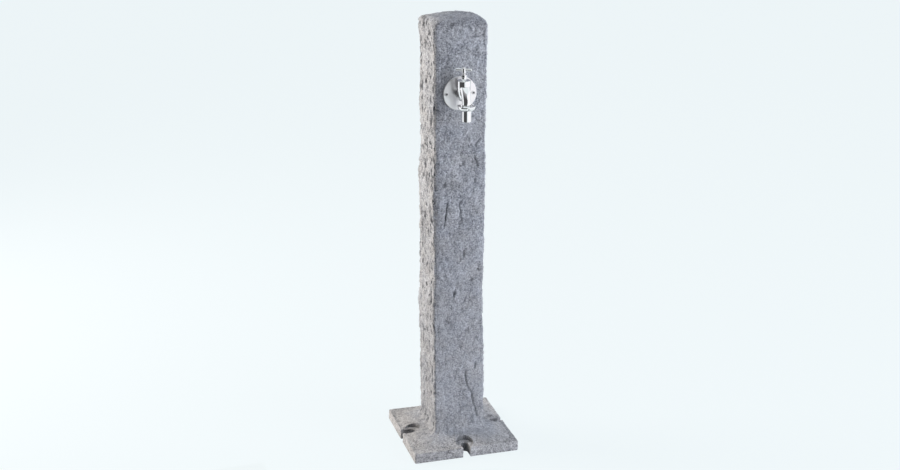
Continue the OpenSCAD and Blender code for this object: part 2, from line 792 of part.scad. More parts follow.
stone_pillar();
at_tap() rosette();  // tap_rosette
at_tap() rosette_screws();  // tap_rosette_screws
at_tap() wall_gasket();  // tap_wall_gasket
at_tap() wall_elbow();  // tap_wall_elbow
at_tap() socket_washer();  // tap_shank_washer
tap_body();
bonnet_washer();
tap_bonnet();
gland_packing();
gland_nut();
valve_jumper();
valve_washer();
valve_washer_nut();
valve_spindle();
tee_handle();
handle_screw();
union_ring();
hose_nozzle();
nozzle_washer();
at_tap() hose_washer();  // upper_hose_washer
at_tap() hose_tail();  // upper_hose_tail
at_tap() hose_nut();  // upper_hose_nut
at_tap() hose_ferrule();  // upper_hose_ferrule
supply_hose();
at_inlet() hose_washer();  // lower_hose_washer
at_inlet() hose_tail();  // lower_hose_tail
at_inlet() hose_nut();  // lower_hose_nut
at_inlet() hose_ferrule();  // lower_hose_ferrule
at_inlet() rosette();  // inlet_rosette
at_inlet() rosette_screws();  // inlet_rosette_screws
at_inlet() wall_gasket();  // inlet_wall_gasket
at_inlet() wall_elbow();  // inlet_wall_elbow
at_inlet() socket_washer();  // inlet_shank_washer
inlet_nipple();
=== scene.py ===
# %% [markdown]
# # Garden standpipe
# A hollow post moulded to look like split stone carries one chromed tap on its front face. The working
# parts come from the frame: each CAD node already has its real size and place. This lesson gives them
# their finish. The stone and the metal that shows are worked out as numpy surfaces, because a plain prism
# has no chips or cracks, and a plain turned solid has no soft edges to catch the light.

# %% Load the frame
import json
import math

import bpy
import numpy as np
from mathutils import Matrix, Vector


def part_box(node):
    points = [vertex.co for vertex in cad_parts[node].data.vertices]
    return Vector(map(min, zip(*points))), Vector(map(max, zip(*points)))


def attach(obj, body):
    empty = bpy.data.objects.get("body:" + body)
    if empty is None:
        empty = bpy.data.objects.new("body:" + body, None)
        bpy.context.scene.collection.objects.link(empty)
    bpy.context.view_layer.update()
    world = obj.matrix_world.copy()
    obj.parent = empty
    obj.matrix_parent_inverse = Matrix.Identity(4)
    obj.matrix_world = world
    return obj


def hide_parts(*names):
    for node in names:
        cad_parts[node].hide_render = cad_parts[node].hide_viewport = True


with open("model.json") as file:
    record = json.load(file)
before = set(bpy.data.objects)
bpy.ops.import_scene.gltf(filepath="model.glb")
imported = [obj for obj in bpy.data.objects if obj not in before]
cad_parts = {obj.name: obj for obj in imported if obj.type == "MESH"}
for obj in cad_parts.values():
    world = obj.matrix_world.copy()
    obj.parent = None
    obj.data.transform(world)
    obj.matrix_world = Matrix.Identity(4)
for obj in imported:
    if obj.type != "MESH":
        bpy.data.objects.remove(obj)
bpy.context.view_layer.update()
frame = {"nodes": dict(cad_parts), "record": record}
MM = 0.001


def box_mm(node):
    """The lowest and highest corners of a CAD node, in millimetres."""
    return tuple(np.array(corner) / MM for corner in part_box(node))


# %% [markdown]
# ## The camera
# The camera stands where the photograph was taken: left of the post and higher than its top, looking
# down. A lens is easiest to measure in pixels, by how wide things come out in a picture of known width,
# so that number is turned into millimetres by the width of the sensor. From three metres away the post's
# sides stay almost parallel.

# %% Camera
PHOTO_W = 900
SENSOR_W = 36.0
FOCAL_PX = 1510.5
CAMERA_PLACE = (-0.9025, -3.0706, 1.6008)
CAMERA_YAW = 16.3
CAMERA_PITCH = 19.07

camera_data = bpy.data.cameras.new("camera")
camera_data.sensor_width = SENSOR_W
camera_data.lens = FOCAL_PX / PHOTO_W * SENSOR_W
camera = bpy.data.objects.new("camera", camera_data)
camera.location = CAMERA_PLACE
camera.rotation_euler = (math.radians(90 - CAMERA_PITCH), 0, math.radians(-CAMERA_YAW))
bpy.context.scene.collection.objects.link(camera)
bpy.context.scene.camera = camera
bpy.context.scene.view_settings.view_transform = "Standard"
print("lens:", round(camera_data.lens, 1), "mm")

# %% [markdown]
# ## Surfaces from rings
# Every new piece here is a skin over rings of points, like the hoops of a barrel. Two rings with the same
# number of points are joined by quads. A ring of one point closes an end with triangles, and a ring with
# twice the points of the one before is joined by faces of five corners, which lets a fine part grow out
# of a coarse one. The points and the faces are numpy arrays, and Blender takes each in one call.

# %% Skin over rings
def skin(rings, closed=False):
    """One array of faces for each pair of rings, with each corner's column, as a share of its ring, and
    its ring. The rings run counter-clockwise seen from the first ring's end, and follow each other over
    the outside."""
    counts = [len(ring) for ring in rings]
    starts = np.concatenate([[0], np.cumsum(counts)])
    rows = []
    for upper in range(len(rings) if closed else len(rings) - 1):
        lower = (upper + 1) % len(rings)
        many_above, many_below = counts[upper], counts[lower]
        here = np.arange(max(many_above, many_below) if 1 in (many_above, many_below) else many_above)
        if many_above == 1:
            below, above = [here, here + 1], [here * 0]
        elif many_below == 1:
            below, above = [here * 0], [here + 1, here]
        elif many_below == 2 * many_above:
            below, above = [2 * here, 2 * here + 1, 2 * here + 2], [here + 1, here]
        else:
            below, above = [here, here + 1], [here + 1, here]
        corners = [starts[lower] + c % many_below for c in below]
        corners += [starts[upper] + c % many_above for c in above]
        shares = [c / many_below for c in below] + [c / many_above for c in above]
        ring_of = [here * 0 + upper + 1] * len(below) + [here * 0 + upper] * len(above)
        rows.append(tuple(np.stack(part, 1) for part in (corners, shares, ring_of)))
    return rows


def add_mesh(name, points, faces):
    """A smooth-shaded object at the origin, from points in millimetres and arrays of corner numbers."""
    corners = np.concatenate([f.ravel() for f in faces]).astype(np.int32)
    sizes = np.concatenate([np.full(len(f), f.shape[1]) for f in faces])
    mesh = bpy.data.meshes.new(name)
    mesh.vertices.add(len(points))
    mesh.vertices.foreach_set("co", np.asarray(points * MM, np.float32).ravel())
    mesh.loops.add(len(corners))
    mesh.loops.foreach_set("vertex_index", corners)
    mesh.polygons.add(len(sizes))
    mesh.polygons.foreach_set("loop_start", np.concatenate([[0], np.cumsum(sizes)[:-1]]).astype(np.int32))
    mesh.polygons.foreach_set("use_smooth", np.ones(len(sizes), bool))
    mesh.update(calc_edges=True)
    mesh.validate()
    made = bpy.data.objects.new(name, mesh)
    bpy.context.scene.collection.objects.link(made)
    return made


print("skin and mesh helpers ready")

# %% [markdown]
# ## Floor and light
# The post stands on a plain pale floor. The main light is a warm softbox at the left and somewhat behind,
# about as high as the post, so the left face is bright, the crown gets little of it, and the front lies
# in a cool fill from the right. The floor and the sky show their pale colour to the camera and in
# reflections, and the floor still keeps a soft shadow. The softboxes themselves aren't mirrored: cards do
# that better.

# %% Shader helpers
def put(tree, kind, inputs=None, **settings):
    """Adds one node. An input takes a plain value, or a link where it is given another node's socket."""
    made = tree.nodes.new(kind)
    for key, value in settings.items():
        setattr(made, key, value)
    for key, value in (inputs or {}).items():
        if isinstance(value, bpy.types.NodeSocket):
            tree.links.new(value, made.inputs[key])
        else:
            made.inputs[key].default_value = value
    return made


def math_node(tree, operation, *values):
    """One Math node and its result."""
    return put(tree, "ShaderNodeMath", dict(enumerate(values)), operation=operation).outputs[0]


def bare_material(name):
    """A material with an empty node tree, and that tree."""
    made = bpy.data.materials.new(name)
    made.use_nodes = True
    made.node_tree.nodes.clear()
    return made, made.node_tree


def seen_or_mirrored(tree):
    """1 for camera, glossy and transmission rays, and 0 for the rays that carry light."""
    path = put(tree, "ShaderNodeLightPath")
    shiny = math_node(tree, "MAXIMUM", path.outputs["Is Glossy Ray"], path.outputs["Is Transmission Ray"])
    return math_node(tree, "MAXIMUM", path.outputs["Is Camera Ray"], shiny)


print("shader helpers ready")

# %% Sky
PALE = (0.879, 0.947, 0.965, 1)
SKY_FILL = (0.83, 0.88, 1.0, 1)
SKY_STRENGTH = 0.5

world = bpy.data.worlds.new("studio")
world.use_nodes = True
sky = world.node_tree
sky.nodes.clear()
sky_light = put(sky, "ShaderNodeBackground", {"Color": SKY_FILL, "Strength": SKY_STRENGTH})
sky_seen = put(sky, "ShaderNodeBackground", {"Color": PALE, "Strength": 1.0})
sky_mix = put(sky, "ShaderNodeMixShader", {
    0: seen_or_mirrored(sky), 1: sky_light.outputs[0], 2: sky_seen.outputs[0]})
put(sky, "ShaderNodeOutputWorld", {"Surface": sky_mix.outputs[0]})
bpy.context.scene.world = world
print("sky strength:", SKY_STRENGTH)

# %% Floor
FLOOR_HALF = 30000.0
FLOOR_DROP = 0.4
FLOOR_GLOW = 0.93
FLOOR_MATT = (0.91, 0.92, 0.96, 1)

floor_pale, tree = bare_material("floor_pale")
matt = put(tree, "ShaderNodeBsdfDiffuse", {"Color": FLOOR_MATT})
glow = put(tree, "ShaderNodeEmission", {"Color": PALE, "Strength": 1.0})
glow_share = math_node(tree, "MULTIPLY", seen_or_mirrored(tree), FLOOR_GLOW)
floor_mix = put(tree, "ShaderNodeMixShader", {0: glow_share, 1: matt.outputs[0], 2: glow.outputs[0]})
put(tree, "ShaderNodeOutputMaterial", {"Surface": floor_mix.outputs[0]})

square = np.array([(-1, -1, 0), (1, -1, 0), (1, 1, 0), (-1, 1, 0)])
floor = add_mesh("floor", square * FLOOR_HALF - (0, 0, FLOOR_DROP), [np.array([[0, 1, 2, 3]])])
floor.data.materials.append(floor_pale)
print("floor:", 2 * FLOOR_HALF * MM, "m across")

# %% Softboxes
AIM_Z = 0.55


def add_softbox(name, azimuth, away, height, size, power, colour):
    """A square lamp at an azimuth (0 is the front, 90 the right), turned to the middle of the post, in
    metres."""
    data = bpy.data.lights.new(name, "AREA")
    data.shape = "SQUARE"
    data.size = size
    data.energy = power
    data.color = colour
    lamp = bpy.data.objects.new(name, data)
    turn = math.radians(azimuth)
    lamp.location = (away * math.sin(turn), -away * math.cos(turn), height)
    lamp.rotation_euler = (math.pi / 2 - math.atan2(height - AIM_Z, away), 0, turn)
    lamp.visible_camera = False
    lamp.visible_glossy = False
    bpy.context.scene.collection.objects.link(lamp)


add_softbox("key", azimuth=-120, away=2.2, height=1.15, size=1.3, power=76, colour=(1.0, 0.915, 0.81))
add_softbox("fill", azimuth=48, away=3.2, height=1.2, size=2.2, power=80, colour=(0.90, 0.93, 1.0))
print("softboxes: key and fill")

# %% [markdown]
# ## Cards for the metal
# Chrome has no colour of its own: it shows the room. In a studio a dark card stands in front, left of the
# lens, so that each round part gets a dark stripe between two bright ones, which mirror white cards. Each
# card here is a strip bent round the post. A second one above the dark card fades upwards, so that
# sloping parts darken by degrees. A grey one beside it stands off the floor, so that only the upper half
# of a flat plate mirrors it, and three that lie on the floor darken the undersides. The two flags aren't
# mirrored at all: they are black and keep light off the stone's front left edge. All of them belong to
# the stage, and the camera looks through them.

# %% Card helpers
CARD_R = 2100.0
CARD_STEPS = 40
CARD_TINT = (0.97, 0.97, 1.0, 1)


def store(made, name, values):
    """Keeps one number for each point of a mesh, where a material can read it by its name."""
    kept = made.data.attributes.new(name, "FLOAT", "POINT")
    kept.data.foreach_set("value", np.asarray(values, np.float32))


def stored_node(tree, name):
    """The socket that gives a material the numbers kept under this name."""
    return put(tree, "ShaderNodeAttribute", attribute_name=name).outputs["Fac"]


def add_card(name, azimuths, low, high, tones, mirrored=True):
    """A bent card between two azimuths (0 is the front, 90 the right) and two edges, each a radius and a
    height in millimetres. Its tone goes evenly from edge to edge, and it is seen either by reflections or
    by the stone. One that lies flat casts no shadow on the floor."""
    turn = np.radians(np.linspace(*azimuths, CARD_STEPS))
    line = np.stack([np.sin(turn), -np.cos(turn), 0 * turn], 1)
    edges = [line * radius + (0, 0, height) for radius, height in (low, high)]
    strip = np.arange(CARD_STEPS - 1)
    quads = np.stack([strip, strip + 1, strip + 1 + CARD_STEPS, strip + CARD_STEPS], 1)
    card = add_mesh(name, np.concatenate(edges), [quads])
    store(card, "rise", np.repeat([0, 1], CARD_STEPS))
    paint, tree = bare_material(name)
    tone = math_node(tree, "MULTIPLY_ADD", stored_node(tree, "rise"), tones[1] - tones[0], tones[0])
    glow = put(tree, "ShaderNodeEmission", {"Color": CARD_TINT, "Strength": tone})
    put(tree, "ShaderNodeOutputMaterial", {"Surface": glow.outputs[0]})
    card.data.materials.append(paint)
    card.visible_camera = False
    card.visible_glossy = mirrored
    card.visible_diffuse = not mirrored
    card.visible_shadow = not mirrored and high[1] > low[1]


print("card helpers ready")

# %% Cards
# Each row: name, azimuths, lower edge, upper edge, and the tones at the two edges.
CARDS = [
    ("dark_card", (-88, 3), (CARD_R, 420), (CARD_R, 1250), (0.075, 0.075)),
    ("low_dark_card", (-88, -5), (CARD_R, 0), (CARD_R, 420), (0.075, 0.075)),
    ("fading_card", (-88, 3), (CARD_R, 1250), (CARD_R, 2500), (0.075, 0.5)),
    ("grey_card", (3, 12), (CARD_R, 600), (CARD_R, 1250), (0.18, 0.18)),
    ("white_card_right", (12, 100), (CARD_R, 0), (CARD_R, 2000), (1.15, 1.15)),
    ("white_card_left", (-170, -100), (CARD_R, 0), (CARD_R, 2000), (1.15, 1.15)),
    ("near_floor_card", (-100, 100), (200, 2), (600, 2), (0.2, 0.1)),
    ("middle_floor_card", (10, 23), (800, 2), (1300, 2), (0.1, 0.1)),
    ("far_floor_card", (-88, -12), (1150, 2), (CARD_R, 2), (0.075, 0.075)),
]
FLAGS = [
    ("black_flag", (-88, 2), (CARD_R, 0), (CARD_R, 2600), (0.035, 0.035)),
    ("floor_flag", (-88, -10), (450, 2), (1800, 2), (0.035, 0.035)),
]

for card in CARDS:
    add_card(*card)
for flag in FLAGS:
    add_card(*flag, mirrored=False)
print("cards:", len(CARDS), "for the metal,", len(FLAGS), "flags for the stone")

# %% [markdown]
# ## Random relief
# Split stone is rough at every scale: slow waves, flat chips where pieces broke away, and a fine grain.
# Each is a function of a point in space, so two faces agree along the edge between them and no seam
# shows. The random numbers come from a seeded generator, so every run gives the same stone.

# %% Soft noise
LATTICE = 64


def eased(t):
    """The ease 6t^5 - 15t^4 + 10t^3, flat at both ends."""
    return t * t * t * (t * (6 * t - 15) + 10)


def ramp(low, high, x):
    """An eased step: 0 below low, 1 above high."""
    return eased(np.clip((x - low) / (high - low), 0, 1))


def soft_noise(points, size, seed):
    """Random numbers from -1 to 1 on a cubic lattice of this size, eased between the eight corners of
    each cell."""
    values = np.random.default_rng(seed).uniform(-1, 1, (LATTICE, LATTICE, LATTICE))
    scaled = points / size
    cell = np.floor(scaled).astype(int)
    weight = eased(scaled - cell)
    total = np.zeros(len(points))
    for corner in np.ndindex(2, 2, 2):
        share = np.prod(np.where(corner, weight, 1 - weight), axis=1)
        total += share * values[tuple(((cell + corner) % LATTICE).T)]
    return total


print("soft noise ready")

# %% Chipped noise
CHIP_LIMIT = 1.2


def chipped_noise(points, size, seed):
    """Flat chips, about -1 to 1: the nearest point of a jittered lattice owns each place, and the height
    there is that of the owner's own tilted plane."""
    chance = np.random.default_rng(seed)
    jitter = chance.uniform(0, 1, (LATTICE, LATTICE, LATTICE, 3))
    tilt = chance.normal(0, 1, (LATTICE, LATTICE, LATTICE, 3))
    scaled = points / size
    cell = np.floor(scaled).astype(int)
    nearest = np.full(len(points), np.inf)
    height = np.zeros(len(points))
    for step in np.ndindex(3, 3, 3):
        other = cell + np.array(step) - 1
        owner = tuple((other % LATTICE).T)
        away = scaled - other - jitter[owner]
        distance = (away ** 2).sum(1)
        height = np.where(distance < nearest, (away * tilt[owner]).sum(1), height)
        nearest = np.minimum(nearest, distance)
    return np.clip(height, -CHIP_LIMIT, CHIP_LIMIT)


print("chipped noise ready")

# %% [markdown]
# ## The plain post
# The post is one moulding: a square shaft with a rounded crown, a flare, and a foot plate with a slot for
# a ground bolt in each side. It is hollow and open below. One sequence of rings draws all of it, from the
# middle of the crown down the outside, under the foot and up the inside, so the skin is closed. On the
# foot the rings have twice the columns, which crowd towards each slot and run round its U.

# %% Sizes of the post
POST_H = box_mm("stone_pillar")[1][2]
FOOT_HALF = box_mm("stone_pillar")[1][0]
POST_HALF = -box_mm("tap_rosette")[1][1]
TAP_Z = np.mean([corner[2] for corner in box_mm("tap_rosette")])
INLET_Z = np.mean([corner[2] for corner in box_mm("inlet_rosette")])
EDGE_R = 5.0
CROWN_H = 24.0
CROWN_BASE = POST_H - CROWN_H
CROWN_POWER = 3.0
CROWN_CORNER_GAIN = 1.4
FLARE_H, FLARE_W = 18.0, 17.0
SWELL_Z = 36.0
SWELL_R = EDGE_R + FLARE_W / 2
SWELL_HALF = POST_HALF + FLARE_W
FOOT_T = 24.0
FOOT_R = 2.5
FOOT_RIM = 8.0
WALL_T, CROWN_T = 8.0, 16.0
CAVITY_HALF, CAVITY_R = POST_HALF - WALL_T, 6.0
print("post:", POST_H, "mm high,", 2 * POST_HALF, "mm square, foot", 2 * FOOT_HALF)

# %% Columns
FOOT_EDGE, SLOT_LIP, SLOT_LEG, SLOT_ARC, CORNER_ARC = 30, 4, 10, 16, 16
SIDE_KNOTS = np.cumsum([0, FOOT_EDGE, SLOT_LIP, SLOT_LEG, SLOT_ARC, SLOT_LEG, SLOT_LIP, FOOT_EDGE])
SIDE_COLUMNS = SIDE_KNOTS[-1]
SLOT_PLACES = (-1, -0.5, -0.42, -0.21, 0.21, 0.42, 0.5, 1)

side_step = np.arange(SIDE_COLUMNS)
even_places = 2 * side_step / SIDE_COLUMNS - 1
slot_places = np.interp(side_step, SIDE_KNOTS, SLOT_PLACES)


def four_sides(side):
    """A whole ring from the points of its front side and the corner after it, turned by quarters."""
    quarter_turn = np.array([[0.0, -1.0], [1.0, 0.0]])
    sides = [side]
    for _ in range(3):
        sides.append(sides[-1] @ quarter_turn.T)
    return np.concatenate(sides)


def corner_points(half, radius, steps):
    """The quarter arc at the front right corner of a square."""
    turn = np.radians(90 * np.arange(steps) / steps - 90)
    return half - radius + radius * np.cos(turn), radius - half + radius * np.sin(turn)


def square_ring(half, radius, places):
    """A square with round corners: straight sides at these places, from -1 to 1, each with an arc."""
    arc_x, arc_y = corner_points(half, radius, CORNER_ARC * len(places) // SIDE_COLUMNS)
    x = np.concatenate([places * (half - radius), arc_x])
    y = np.concatenate([np.full(len(places), -half), arc_y])
    return four_sides(np.stack([x, y], 1))


def at_height(ring, z):
    """A plan ring lifted to one height, or to a height for each of its points."""
    return np.column_stack([ring, np.broadcast_to(z, len(ring))])


print("columns:", 4 * (SIDE_COLUMNS + CORNER_ARC), "on the foot, half as many on the shaft")

# %% Crown and shaft
CROWN_RINGS, CROWN_SAMPLES = 20, 2000
SHAFT_STEP = 3.4


def crown_outline(count):
    """Half widths and heights of the crown. Its outline is (half / full)^CROWN_POWER + (height /
    full)^CROWN_POWER = 1, nearly flat on top and quickly round at the side, with the rings spread
    evenly."""
    turn = np.radians(np.linspace(90, 0, CROWN_SAMPLES))
    half = POST_HALF * np.cos(turn) ** (2 / CROWN_POWER)
    rise = CROWN_H * np.sin(turn) ** (2 / CROWN_POWER)
    run = np.concatenate([[0], np.cumsum(np.hypot(np.diff(half), np.diff(rise)))])
    spread = np.linspace(0, run[-1], count + 1)[1:]
    return np.interp(spread, run, half), np.interp(spread, run, rise)


shaft_places = even_places[::2]
shaft_low = SWELL_Z + FLARE_H
post_rings = [np.array([[0.0, 0.0, CROWN_BASE + CROWN_H]])]
for half, rise in zip(*crown_outline(CROWN_RINGS)):
    radius = min(EDGE_R + (POST_HALF - half) * CROWN_CORNER_GAIN, half)
    post_rings.append(at_height(square_ring(half, radius, shaft_places), CROWN_BASE + rise))
shaft_ring = square_ring(POST_HALF, EDGE_R, shaft_places)
for z in np.arange(CROWN_BASE - SHAFT_STEP, shaft_low + SHAFT_STEP / 2, -SHAFT_STEP):
    post_rings.append(at_height(shaft_ring, z))
shaft_ring_count = len(post_rings)
print("rings on crown and shaft:", shaft_ring_count)

# %% Flare
FLARE_RINGS = 7

for share in np.linspace(0, 1, FLARE_RINGS):
    out = 1 - math.cos(share * math.pi / 2)
    fall = math.sin(share * math.pi / 2)
    places = even_places + (slot_places - even_places) * eased(share)
    ring = square_ring(POST_HALF + FLARE_W * out, EDGE_R + (SWELL_R - EDGE_R) * out, places)
    post_rings.append(at_height(ring, shaft_low - FLARE_H * fall))
print("rings down to the foot:", len(post_rings))

# %% Outline of the foot plate
SLOT_R = 9.0
SLOT_INSET = 22.0
SEAT_R, SEAT_INSET, SEAT_Z = 20.0, 24.0, 23.0

flat = FOOT_HALF - FOOT_R
slot_end = SLOT_INSET - FOOT_HALF
seat_at = np.array([0.0, SEAT_INSET - FOOT_HALF])
lip_end = seat_at[1] - math.sqrt(SEAT_R ** 2 - SLOT_R ** 2)
knots_x = (-flat, -SLOT_R, -SLOT_R, -SLOT_R, SLOT_R, SLOT_R, SLOT_R, flat)
knots_y = (-FOOT_HALF, -FOOT_HALF, lip_end, slot_end, slot_end, lip_end, -FOOT_HALF, -FOOT_HALF)
outline_x = np.interp(side_step, SIDE_KNOTS, knots_x)
outline_y = np.interp(side_step, SIDE_KNOTS, knots_y)
slot_turn = np.radians(np.interp(side_step, SIDE_KNOTS[3:5], (180, 0)))
on_arc = (side_step >= SIDE_KNOTS[3]) & (side_step <= SIDE_KNOTS[4])
outline_x = np.where(on_arc, SLOT_R * np.cos(slot_turn), outline_x)
outline_y = np.where(on_arc, slot_end + SLOT_R * np.sin(slot_turn), outline_y)
arc_x, arc_y = corner_points(FOOT_HALF, FOOT_R, CORNER_ARC)
foot_side = np.stack([np.concatenate([outline_x, arc_x]), np.concatenate([outline_y, arc_y])], 1)
foot_outline = four_sides(foot_side)
print("slot:", 2 * SLOT_R, "mm wide, washer seat", 2 * SEAT_R, "mm across")

# %% Foot plate, top
EDGE_ROUND = 1.6
SQUARENESS = 8
ROWS_TO_SEAT, ROWS_TO_EDGE = 14, 14
SEAT_WALL = 0.5
OPEN_SHARE = 0.5


def swell_z(ring):
    """Height of the foot's top without the seats. It falls evenly with the distance from the middle,
    measured so that its contours are squares with round corners."""
    x, y = np.abs(ring).T
    reach = (x ** SQUARENESS + y ** SQUARENESS) ** (1 / SQUARENESS)
    fall = np.clip((reach - SWELL_HALF) / (FOOT_HALF - FOOT_RIM - SWELL_HALF), 0, 1)
    return SWELL_Z + (FOOT_T - SWELL_Z) * fall


def seat_distance(ring):
    """How far each point is from the middle of the nearest seat."""
    x, y = np.abs(ring).T
    return np.hypot(np.minimum(x, y), np.maximum(x, y) + seat_at[1])


def seated_z(ring):
    """Height of the foot's top with a flat round seat sunk over each slot."""
    return np.where(seat_distance(ring) < SEAT_R, SEAT_Z, swell_z(ring))


swell_ring = post_rings[-1][:, :2]
reach_out = foot_outline - swell_ring
column_length = np.linalg.norm(reach_out, axis=1)
plate_share = 1 - EDGE_ROUND / column_length


def seat_shares():
    """How far along each column its line enters the seat's circle, by the quadratic formula. Columns that
    miss the circle take a value between their neighbours' and the one that is used at the corners."""
    side = slice(0, SIDE_COLUMNS)
    start, run = swell_ring[side] - seat_at, reach_out[side]
    a, b, c = (run ** 2).sum(1), (start * run).sum(1), (start ** 2).sum(1) - SEAT_R ** 2
    inside = b * b - a * c
    enters = (-b - np.sqrt(np.maximum(inside, 0))) / a
    hit = np.flatnonzero((inside > 0) & (enters > 0) & (enters < 1))
    known = np.concatenate([[0], hit, [SIDE_COLUMNS + CORNER_ARC]])
    values = np.concatenate([[OPEN_SHARE], enters[hit], [OPEN_SHARE]])
    return np.tile(np.interp(np.arange(SIDE_COLUMNS + CORNER_ARC), known, values), 4)


wall_share = seat_shares()
inner_share = np.minimum(wall_share + SEAT_WALL / column_length, plate_share)
for share in np.linspace(0, 1, ROWS_TO_SEAT + 1)[1:]:
    ring = swell_ring + reach_out * (wall_share * share)[:, None]
    post_rings.append(at_height(ring, swell_z(ring)))
for share in np.linspace(0, 1, ROWS_TO_EDGE):
    ring = swell_ring + reach_out * (inner_share + (plate_share - inner_share) * share)[:, None]
    post_rings.append(at_height(ring, seated_z(ring)))
print("rings to the plate's edge:", len(post_rings))

# %% Foot plate, sides and underside
ROUND_STEPS = 3
SIDE_SHARES = (0.75, 0.5, 0.25, 0.06)
UNDER_SHARES = (0.02, 0.5, 1.0)
CAVITY_TOP = POST_H - CROWN_T
CAVITY_HEIGHTS = (60.0, 500.0, CAVITY_TOP)

edge_z = np.minimum(post_rings[-1][:, 2], FOOT_T)
for turn in np.radians(90 * np.arange(1, ROUND_STEPS + 1) / ROUND_STEPS):
    share = 1 - (1 - plate_share) * (1 - math.sin(turn))
    ring = swell_ring + reach_out * share[:, None]
    post_rings.append(at_height(ring, edge_z - EDGE_ROUND * (1 - math.cos(turn))))
plate_edge_count = len(post_rings)
for share in SIDE_SHARES:
    post_rings.append(at_height(foot_outline, (edge_z - EDGE_ROUND) * share))
plate_side_count = len(post_rings)
cavity_ring = square_ring(CAVITY_HALF, CAVITY_R, slot_places)
for share in UNDER_SHARES:
    post_rings.append(at_height(foot_outline + (cavity_ring - foot_outline) * share, 0.0))
plate_under_count = len(post_rings)
for z in CAVITY_HEIGHTS:
    post_rings.append(at_height(cavity_ring, z))
post_rings.append(np.array([[0.0, 0.0, CAVITY_TOP]]))
print("rings in all:", len(post_rings))

# %% Skin of the post
post_points = np.concatenate(post_rings)
post_rows = skin(post_rings)
post = add_mesh("stone_skin", post_points, [row[0] for row in post_rows])
triangles = sum(len(row[0]) * (row[0].shape[1] - 2) for row in post_rows)
print("stone skin:", len(post_points), "points,", triangles, "triangles")

# %% [markdown]
# ## Chips, pits and cracks
# The mould of such a post is taken from split stone, so its skin has waves, flat chips, grain, small pits
# and a few cracks. On the left face the pits are long and gather in gouges. Each layer is a height in
# millimetres, and the sum moves every point along its normal. The relief stays off the underside and the
# inside, is weak on the foot plate, and fades to nothing under the two cover plates, which need a flat
# seat.

# %% Where the stone is rough
PLATE_RELIEF = 0.45
ROSETTE_FLAT, ROSETTE_FADE = 37.5, 54.0
FADE_BEFORE, FADE_AFTER = 2, 4

ring_of_point = np.repeat(np.arange(len(post_rings)), [len(ring) for ring in post_rings])
flare_count = shaft_ring_count + FLARE_RINGS
fade_from, fade_to = flare_count - FADE_BEFORE, flare_count + FADE_AFTER
rough_knots = (fade_from, fade_to, plate_side_count - 2, plate_side_count - 1)
rough = np.interp(ring_of_point, rough_knots, (1, PLATE_RELIEF, PLATE_RELIEF, 0))
x, y, z = post_points.T
from_tap = np.where(y < 0, np.hypot(x, z - TAP_Z), np.inf)
from_inlet = np.where(y > 0, np.hypot(x, z - INLET_Z), np.inf)
rough *= ramp(ROSETTE_FLAT, ROSETTE_FADE, np.minimum(from_tap, from_inlet))
print("rough points:", int((rough > 0.5).sum()))

# %% Waves, chips, grain and pits
# Each layer: height in millimetres, size of the lattice, and seed.
WAVES = [(1.4, 120, 11), (0.9, 52, 12)]
CHIPS = [(0.8, 40, 13), (0.7, 17, 14)]
GRAIN = [(0.8, 7, 15), (0.5, 3.8, 16)]
LEFT_GRAIN = 1.2
STREAK = (1, 1, 0.5)
PATCH_EDGE, PIT_EDGE, LEFT_PIT_EDGE = (-0.5, 0.3), (0.42, 0.82), (0.32, 0.55)
PITS_BY_HEIGHT = [(150, 0.75), (450, 1), (700, 1.4)]


def layers(noise, rows):
    """The sum of some layers of noise, each given by its height, its size and its seed."""
    return sum(height * noise(post_points, size, seed) for height, size, seed in rows)


normals = np.empty(3 * len(post_points), np.float32)
post.data.vertex_normals.foreach_get("vector", normals)
normals = normals.reshape(-1, 3)
leftness = np.clip(-normals[:, 0], 0, 1)
waves = layers(soft_noise, WAVES)
chips = layers(chipped_noise, CHIPS)
grain = layers(soft_noise, GRAIN)
grain += leftness * LEFT_GRAIN * soft_noise(post_points, size=11, seed=20)
patchy = ramp(*PATCH_EDGE, soft_noise(post_points, size=60, seed=18))
pits = patchy * ramp(*PIT_EDGE, soft_noise(post_points, size=7, seed=17))
streak_noise = soft_noise(post_points * STREAK, size=6, seed=21)
left_pits = patchy * leftness * ramp(*LEFT_PIT_EDGE, streak_noise)
left_pits *= np.interp(z, *zip(*PITS_BY_HEIGHT))
print("pitted share:", round(float((np.maximum(pits, left_pits) > 0.5).mean()), 3))

# %% Cracks
CRACK_WIDTH, GOUGE_WIDTH = 2.7, 15.0
GOUGE_EDGE = (0.85, 1.15)
CRACK_WANDER = 1.2

# Each path: points across and up the face, in millimetres.
FRONT_CRACKS = [
    [(18, 954), (53, 957)],
    [(-26, 993), (-22, 984), (-19, 975)],
    [(46, 729), (35, 716)],
    [(34, 687), (40, 675), (39, 667)],
    [(-28, 590), (-31, 570), (-33, 554), (-35, 536)],
    [(4, 592), (-2, 586), (2, 571), (0, 558), (5, 550), (-2, 539)],
    [(10, 475), (10, 461)],
    [(-10, 383), (-13, 371)],
    [(16, 365), (11, 354)],
    [(-33, 315), (-24, 305)],
    [(14, 182), (16, 159), (23, 139), (29, 130), (32, 110), (38, 89), (43, 68)],
    [(38, 204), (37, 189)],
]
LEFT_GOUGES = [
    [(-8, 884), (-2, 862), (4, 846), (-4, 826)],
    [(30, 856), (36, 836)],
    [(2, 800), (-8, 782), (-6, 764), (-14, 750)],
    [(26, 792), (32, 774)],
    [(-30, 720), (-24, 702)],
    [(-49, 446), (-36, 425), (-48, 398), (-31, 363), (-26, 345)],
    [(-45, 211), (-41, 184), (-49, 158), (-53, 134)],
]


